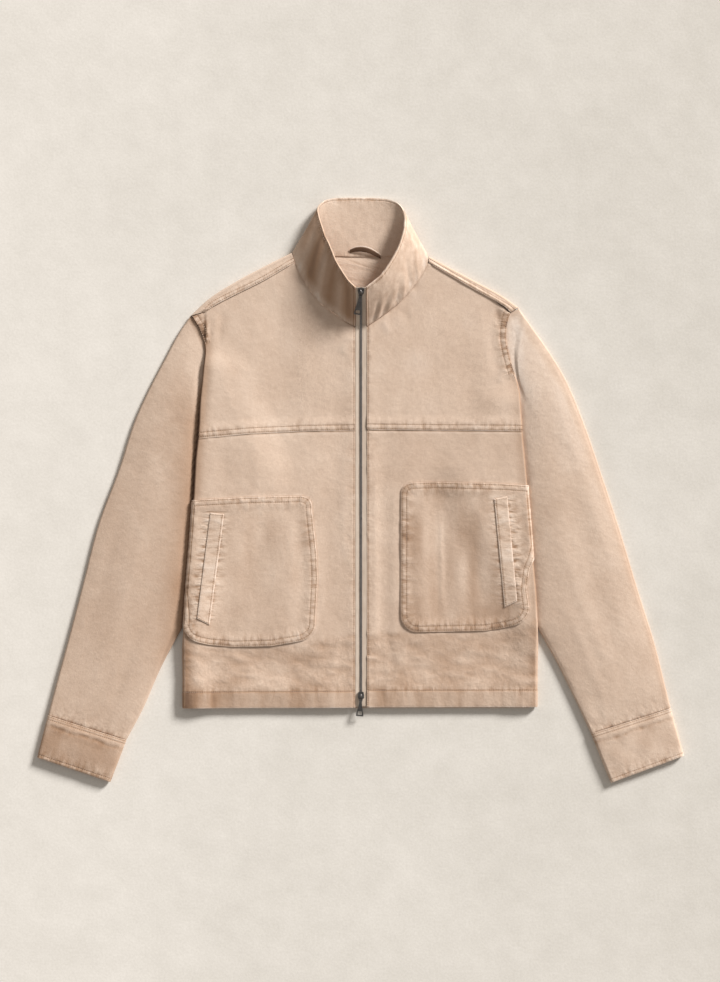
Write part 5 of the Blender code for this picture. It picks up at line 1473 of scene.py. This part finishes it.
class Repeat:
    """A geometry tree that sets one block at even steps along paths. sizes are its named inputs, in millimetres."""

    def __init__(self, name, sizes):
        self.group = bpy.data.node_groups.new(name, "GeometryNodeTree")
        self.sizes = sizes
        sockets = [("Paths", "INPUT", "Geometry"), *((label, "INPUT", "Float") for label in sizes)]
        for label, way, kind in [*sockets, ("Mesh", "OUTPUT", "Geometry")]:
            self.group.interface.new_socket(label, in_out=way, socket_type="NodeSocket" + kind)
        self.nodes = Nodes(self.group)
        self.given = self.nodes.add("NodeGroupInput")
        self.values = [self.given.value(label) for label in sizes]

    def place(self, pitch, block, size, material, shift=None):
        """Sets the block along the paths, with X along them and Z out of the cloth, and ends the tree."""
        add = self.nodes.add
        curve = add("GeometryNodeMeshToCurve", None, {"Mesh": self.given.out("Paths")})
        points = add("GeometryNodeCurveToPoints", {"mode": "LENGTH"}, {"Curve": curve.out(), "Length": pitch})
        up = add("GeometryNodeInputNamedAttribute", {"data_type": "FLOAT_VECTOR"}, {"Name": "up"})
        turn = add("FunctionNodeAlignRotationToVector", {"axis": "X"}, {"Vector": points.out("Tangent")})
        inputs = {"Rotation": turn.out(), "Vector": up.out("Attribute")}
        turn = add("FunctionNodeAlignRotationToVector", {"axis": "Z", "pivot_axis": "X"}, inputs)
        inputs = {"Points": points.out(), "Instance": block.out(), "Rotation": turn.out(), "Scale": size}
        made = add("GeometryNodeInstanceOnPoints", None, inputs)
        if shift:
            made = add("GeometryNodeTranslateInstances", None, {"Instances": made.out(), "Translation": shift})
        made = add("GeometryNodeRealizeInstances", None, {"Geometry": made.out()})
        made = add("GeometryNodeSetMaterial", None, {"Geometry": made.out(), "Material": material})
        add("NodeGroupOutput", None, {"Mesh": made.out()})

    def run(self, name, lines):
        """Runs the tree on lines and leaves its result as a plain mesh."""
        obj = path_object(name + "_paths", lines)
        modifier = obj.modifiers.new(name, "NODES")
        modifier.node_group = self.group
        for item in self.group.interface.items_tree:
            if item.name in self.sizes:
                modifier[item.identifier] = self.sizes[item.name] * MM
        bpy.context.view_layer.update()
        mesh = bpy.data.meshes.new_from_object(obj.evaluated_get(bpy.context.evaluated_depsgraph_get()))
        bpy.data.objects.remove(obj, do_unlink=True)
        mesh.name = name
        if "up" in mesh.attributes:
            mesh.attributes.remove(mesh.attributes["up"])
        mesh.shade_smooth()
        return add_object(name, mesh)


def make_stitching(lines):
    tree = Repeat("stitches_along_seams", {"Length": 2.5, "Gap": 0.6, "Thickness": 0.62})
    nodes, (length, gap, thickness) = tree.nodes, tree.values
    bead = nodes.add("GeometryNodeMeshUVSphere", None, {"Segments": 6, "Rings": 4, "Radius": 0.5})
    bead = nodes.add("GeometryNodeTransform", None, {"Geometry": bead.out(), "Rotation": (0.0, math.pi / 2, 0.0)})
    tree.place(length + gap, bead, nodes.vector(length, thickness * 1.25, thickness), THREAD)
    return tree.run("stitching", lines)


def make_teeth(lines):
    """Teeth that taper to their ends and to their tops, set left and right in turn."""
    sizes = {"Pitch": 1.5, "Reach": 4.0, "Width": 1.25, "Height": 1.1, "Offset": 1.15}
    tree = Repeat("zip_teeth_along_tape", sizes)
    nodes, (pitch, reach, width, height, offset) = tree.nodes, tree.values
    block = nodes.add("GeometryNodeMeshCube", None, {"Vertices X": 2, "Vertices Y": 3, "Vertices Z": 2})
    x, y, z = nodes.add("GeometryNodeInputPosition").parts()
    taper, upper = 1.0 - y.size() * 0.5, (z + 0.5).clamped() * -0.25 + 1.0
    shape = nodes.vector(x * taper * upper, y * upper, z)
    block = nodes.add("GeometryNodeSetPosition", None, {"Geometry": block.out(), "Position": shape})
    index = nodes.add("GeometryNodeInputIndex").value()
    turn = index.math("MODULO", index, 2.0) * 2.0 - 1.0
    shift = nodes.vector(0.0, turn * offset, 0.0)
    tree.place(pitch, block, nodes.vector(width, reach, height), TEETH_METAL, shift)
    made = tree.run("zip_teeth", lines)
    made.data.shade_flat()
    return made


# ---------------------------------------------------------------- where the sewing goes

SEAT = 0.12  # height of a stitch's middle above the cloth
STITCH_STEP, OUTLINE_STEP = 1.4, 2.0  # between the points of a line of stitches and of the patch's outline
ABOVE_ALL = 200.0
WELT_END = 2.2  # a row of stitches from each end of the welt
RIM_SKIP = 4  # points of the rim's row left out at each end


def face_tree(sheet):
    """The outer face of a sheet, for setting stitches on it."""
    faces, _ = grid_faces(*sheet.points.shape[:2])
    return BVHTree.FromPolygons(sheet.points.reshape(-1, 3).tolist(), faces)


def seated(tree, side, plan):
    """A line of (out, y) laid on a face from above, as places and directions out of the cloth."""
    plan = np.asarray(plan, float)
    along = running(plan)
    place = np.linspace(0.0, along[-1], max(int(along[-1] / STITCH_STEP), 3))
    places, normals = [], []
    for out, y in zip(np.interp(place, along, plan[:, 0]), np.interp(place, along, plan[:, 1])):
        hit, normal, _, _ = tree.ray_cast(Vector((side.sign * out, y, ABOVE_ALL)), Vector((0.0, 0.0, -1.0)))
        if hit is not None:
            normal = normal if normal.z > 0 else -normal
            places.append(np.array(hit) + np.array(normal) * SEAT)
            normals.append(tuple(normal))
    return places, normals


def row_line(sheet, distance, outward, from_end=False, closed=True, skip=0):
    """A line round a grid at a distance from its first or last row, with directions out of the cloth."""
    points = np.concatenate([sheet.points, sheet.points[:, :1]], axis=1) if closed else sheet.points
    along = running(sheet.points[:, sheet.points.shape[1] // 4])
    row = np.interp(along[-1] - distance if from_end else distance, along, np.arange(len(along)))
    low = min(int(row), len(points) - 2)
    line = mix(points[low], points[low + 1], row - low)
    normal = unit(np.cross(np.gradient(line, axis=0), points[low + 1] - points[low])) * outward
    kept = slice(skip, len(line) - skip)
    return list((line + normal * SEAT)[kept]), [tuple(up) for up in normal[kept]]


def offset_line(points, distance):
    """A line moved sideways in the plane, to its left for a positive distance."""
    run = unit(np.gradient(np.asarray(points, float), axis=0))
    return points + distance * np.stack([-run[:, 1], run[:, 0]], axis=1)


def inner_outline(side, distance):
    """The patch's outline moved in by a distance, from its top outer end round to its bottom outer end."""
    places = np.s_[0, ::-1], np.s_[1:, 0], np.s_[-1, 1:], np.s_[-2 : side.stitched_to : -1, -1]
    points = np.array(run_of(pocket_plan(side, 120, 90), *places))
    along = running(points)
    place = np.linspace(0.0, along[-1], int(along[-1] / OUTLINE_STEP))
    even = np.stack([np.interp(place, along, points[:, i]) for i in (0, 1)], axis=1)
    moved = offset_line(even, distance)
    start, _ = side_roll(side, moved[:, 1])
    return moved[moved[:, 0] < start + 2.5]


def stitch_lines(pieces):
    lines = []
    for side in SIDES:
        chest, front, pocket, welt, strip = (
            face_tree(pieces[part, side.name]) for part in ("chest", "front", "pocket", "welt", "strip")
        )
        span = np.linspace(ZIP_EDGE + 1.0, side.fold[-1][1], 120)
        hem_y, yoke_y, neck_y = side.lines["hem"][0][1], side.lines["yoke"][0][1], side.neck[0][1]
        on_yoke = span[span < read(side.fold, side.lines["yoke"][-1][1]) - 2.0]
        yoke = np.stack([on_yoke, read(side.lines["yoke"], on_yoke)], axis=1)
        plans = [(chest, yoke + (0.0, row)) for row in LAPPED.rows]
        plans.append((front, np.stack([span, read(side.lines["stitching"], span)], axis=1)))
        beside_zip = ZIP_EDGE + ZIP_BAND.rows[0]
        plans.append((front, [(beside_zip, hem_y + 2.0), (beside_zip, yoke_y - 1.0)]))
        plans.append((chest, [(beside_zip, yoke_y + 1.0), (beside_zip, neck_y + 1.0)]))
        plans += [(chest, offset_line(armhole_path(side).points, -row)) for row in ARMHOLE_BAND.rows]
        plans += [(pocket, inner_outline(side, row)) for row in POCKET_EDGE.rows]
        a, b, c, d = np.array(side.welt)
        inward, down = unit(b - a), unit(d - a) * WELT_END
        plans.append((welt, [a + inward * WELT_ROW, d + inward * WELT_ROW]))
        for start, end, shift in ((a, b, down), (d, c, -down)):
            plans.append((welt, [start + shift + inward * 1.2, end + shift - inward * 1.2]))
        _, seam, inward = strip_lines(side, 60)
        plans += [(strip, seam - inward * row) for row in STRIP_BAND.rows]
        lines += [seated(tree, side, plan) for tree, plan in plans]
        cuff = pieces["cuff", side.name]
        lines += [row_line(cuff, row, -side.sign) for row in CUFF_TOP.rows]
        lines.append(row_line(cuff, CUFF_END.rows[0], -side.sign, from_end=True))
    rim = row_line(pieces["collar"], RIM_BAND.rows[0], 1.0, from_end=True, closed=False, skip=RIM_SKIP)
    return [line for line in [*lines, rim] if len(line[0]) > 2]


def zip_lines():
    """The zip's middle line, from the bottom slider to the top one."""
    (y, z, _), (_, z_right, _) = tape_line(LEFT), tape_line(RIGHT)
    places = np.stack([np.zeros_like(y), y, np.maximum(z, z_right) + 0.3], axis=1)[y > ZIP_START]
    up = np.cross((1.0, 0.0, 0.0), unit(np.gradient(places, axis=0)))
    keep = places[:, 1] < ZIP_END
    return [(list(places[keep]), [tuple(row) for row in up[keep]])]


# ---------------------------------------------------------------- the jacket

# What makes each part of a side, its thickness, whether it is a closed tube, and what it rests on.
PARTS = {
    "chest": (chest_sheet, CANVAS_THICK, False, "back_cloth"),
    "front": (front_sheet, CANVAS_THICK, False, "back_cloth"),
    "pocket": (pocket_sheet, POCKET_THICK, False, "front_cloth_{}"),
    "welt": (welt_sheet, WELT_THICK, False, "pocket_cloth_{}"),
    "sleeve": (sleeve_sheet, CANVAS_THICK, True, None),
    "cuff": (cuff_sheet, CUFF_THICK, True, None),
}


def declare(obj, node, cut, slot_name, *rests_on):
    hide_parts(node)
    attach(obj, BODY)


def make_jacket():
    pieces = {(part, side.name): PARTS[part][0](side) for side in SIDES for part in PARTS}
    flat, *strips = back_sheets([pieces["sleeve", side.name] for side in SIDES])
    pieces["strip", "left"], pieces["strip", "right"] = strips
    pieces["collar"] = collar_sheet()

    back = make_cloth("back_cloth", [flat, *strips], CANVAS_THICK, CANVAS, flip=True)
    declare(back, "back", "back", "canvas")
    for side in SIDES:
        on_right, name = side is RIGHT, side.name
        for part, (_, thick, closed, below) in PARTS.items():
            sheets = [pieces[part, name]]
            cloth = make_cloth(f"{part}_cloth_{name}", sheets, thick, CANVAS, on_right != closed, closed)
            declare(cloth, f"{part}_{name}", part, "canvas", *([below.format(name)] if below else []))
        tape = make_cloth(f"zip_tape_cloth_{name}", [tape_sheet(side)], TAPE_THICK, TAPE, on_right, edge=0.2)
        declare(tape, f"zip_tape_{name}", "tape", "tape")
    collar = make_cloth("collar_cloth", [pieces["collar"]], COLLAR_THICK, CANVAS, flip=True, edge=0.7)
    declare(collar, "collar", "collar", "canvas", "back_cloth")
    hanger = make_cloth("hanger_loop_cloth", [hanger_sheet()], HANGER_THICK, CANVAS, flip=False, edge=0.3)
    declare(hanger, "hanger_loop", "hanger", "canvas", "collar_cloth")

    stitching = make_stitching(stitch_lines(pieces))
    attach(stitching, BODY)
    teeth = make_teeth(zip_lines())
    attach(teeth, BODY)
    for node in ("zip_slider_top", "zip_slider_bottom", "zip_pull_top", "zip_pull_bottom"):
        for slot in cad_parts[node].material_slots:
            slot.material = GUNMETAL


# ---------------------------------------------------------------- floor, light and camera

CAMERA_HEIGHT = 3.2
CAMERA_PLACE = (-0.00143, -0.00143)
VIEW_WIDTH = 1.0296  # of the floor across the picture, metres
SENSOR_WIDTH = 36.0
FLOOR_HALF, FLOOR_Z = 6.0, -0.0004
LIGHT_AZIMUTH, LIGHT_ELEVATION, LIGHT_SPREAD = (math.radians(angle) for angle in (45.0, 22.5, 15.0))
LIGHT_DISTANCE = 3.0


def make_light():
    """Soft window light, low from the upper right."""
    light = bpy.data.lights.new("window", "SUN")
    light.angle, light.energy, light.color = LIGHT_SPREAD, 5.5, (1.0, 0.99, 0.975)
    level, height = LIGHT_DISTANCE * math.cos(LIGHT_ELEVATION), LIGHT_DISTANCE * math.sin(LIGHT_ELEVATION)
    obj = add_object("window", light)
    obj.location = (level * math.cos(LIGHT_AZIMUTH), level * math.sin(LIGHT_AZIMUTH), height)
    obj.rotation_mode = "QUATERNION"
    obj.rotation_quaternion = (-obj.location).to_track_quat("-Z", "Y")


def make_studio():
    mesh = bpy.data.meshes.new("floor")
    corners = [(-1, -1), (1, -1), (1, 1), (-1, 1)]
    mesh.from_pydata([(x * FLOOR_HALF, y * FLOOR_HALF, 0.0) for x, y in corners], [], [(0, 1, 2, 3)])
    mesh.materials.append(material_of("pale_plaster", floor_look))
    floor = add_object("floor", mesh)
    floor.location = (0.0, 0.0, FLOOR_Z)

    world = bpy.data.worlds.new("studio")
    world.use_nodes = True
    background = world.node_tree.nodes["Background"]
    background.inputs["Color"].default_value = colour(1.0, 0.945, 0.885)
    background.inputs["Strength"].default_value = 0.34
    bpy.context.scene.world = world
    make_light()

    camera = bpy.data.cameras.new("camera")
    camera.sensor_fit, camera.sensor_width = "HORIZONTAL", SENSOR_WIDTH
    camera.lens = SENSOR_WIDTH * CAMERA_HEIGHT / VIEW_WIDTH
    camera.clip_start, camera.clip_end = 0.1, 60.0
    obj = add_object("camera", camera)
    obj.location = (*CAMERA_PLACE, CAMERA_HEIGHT)
    bpy.context.scene.camera = obj
    bpy.context.scene.view_settings.view_transform = "Standard"


make_jacket()
make_studio()
bpy.context.view_layer.update()
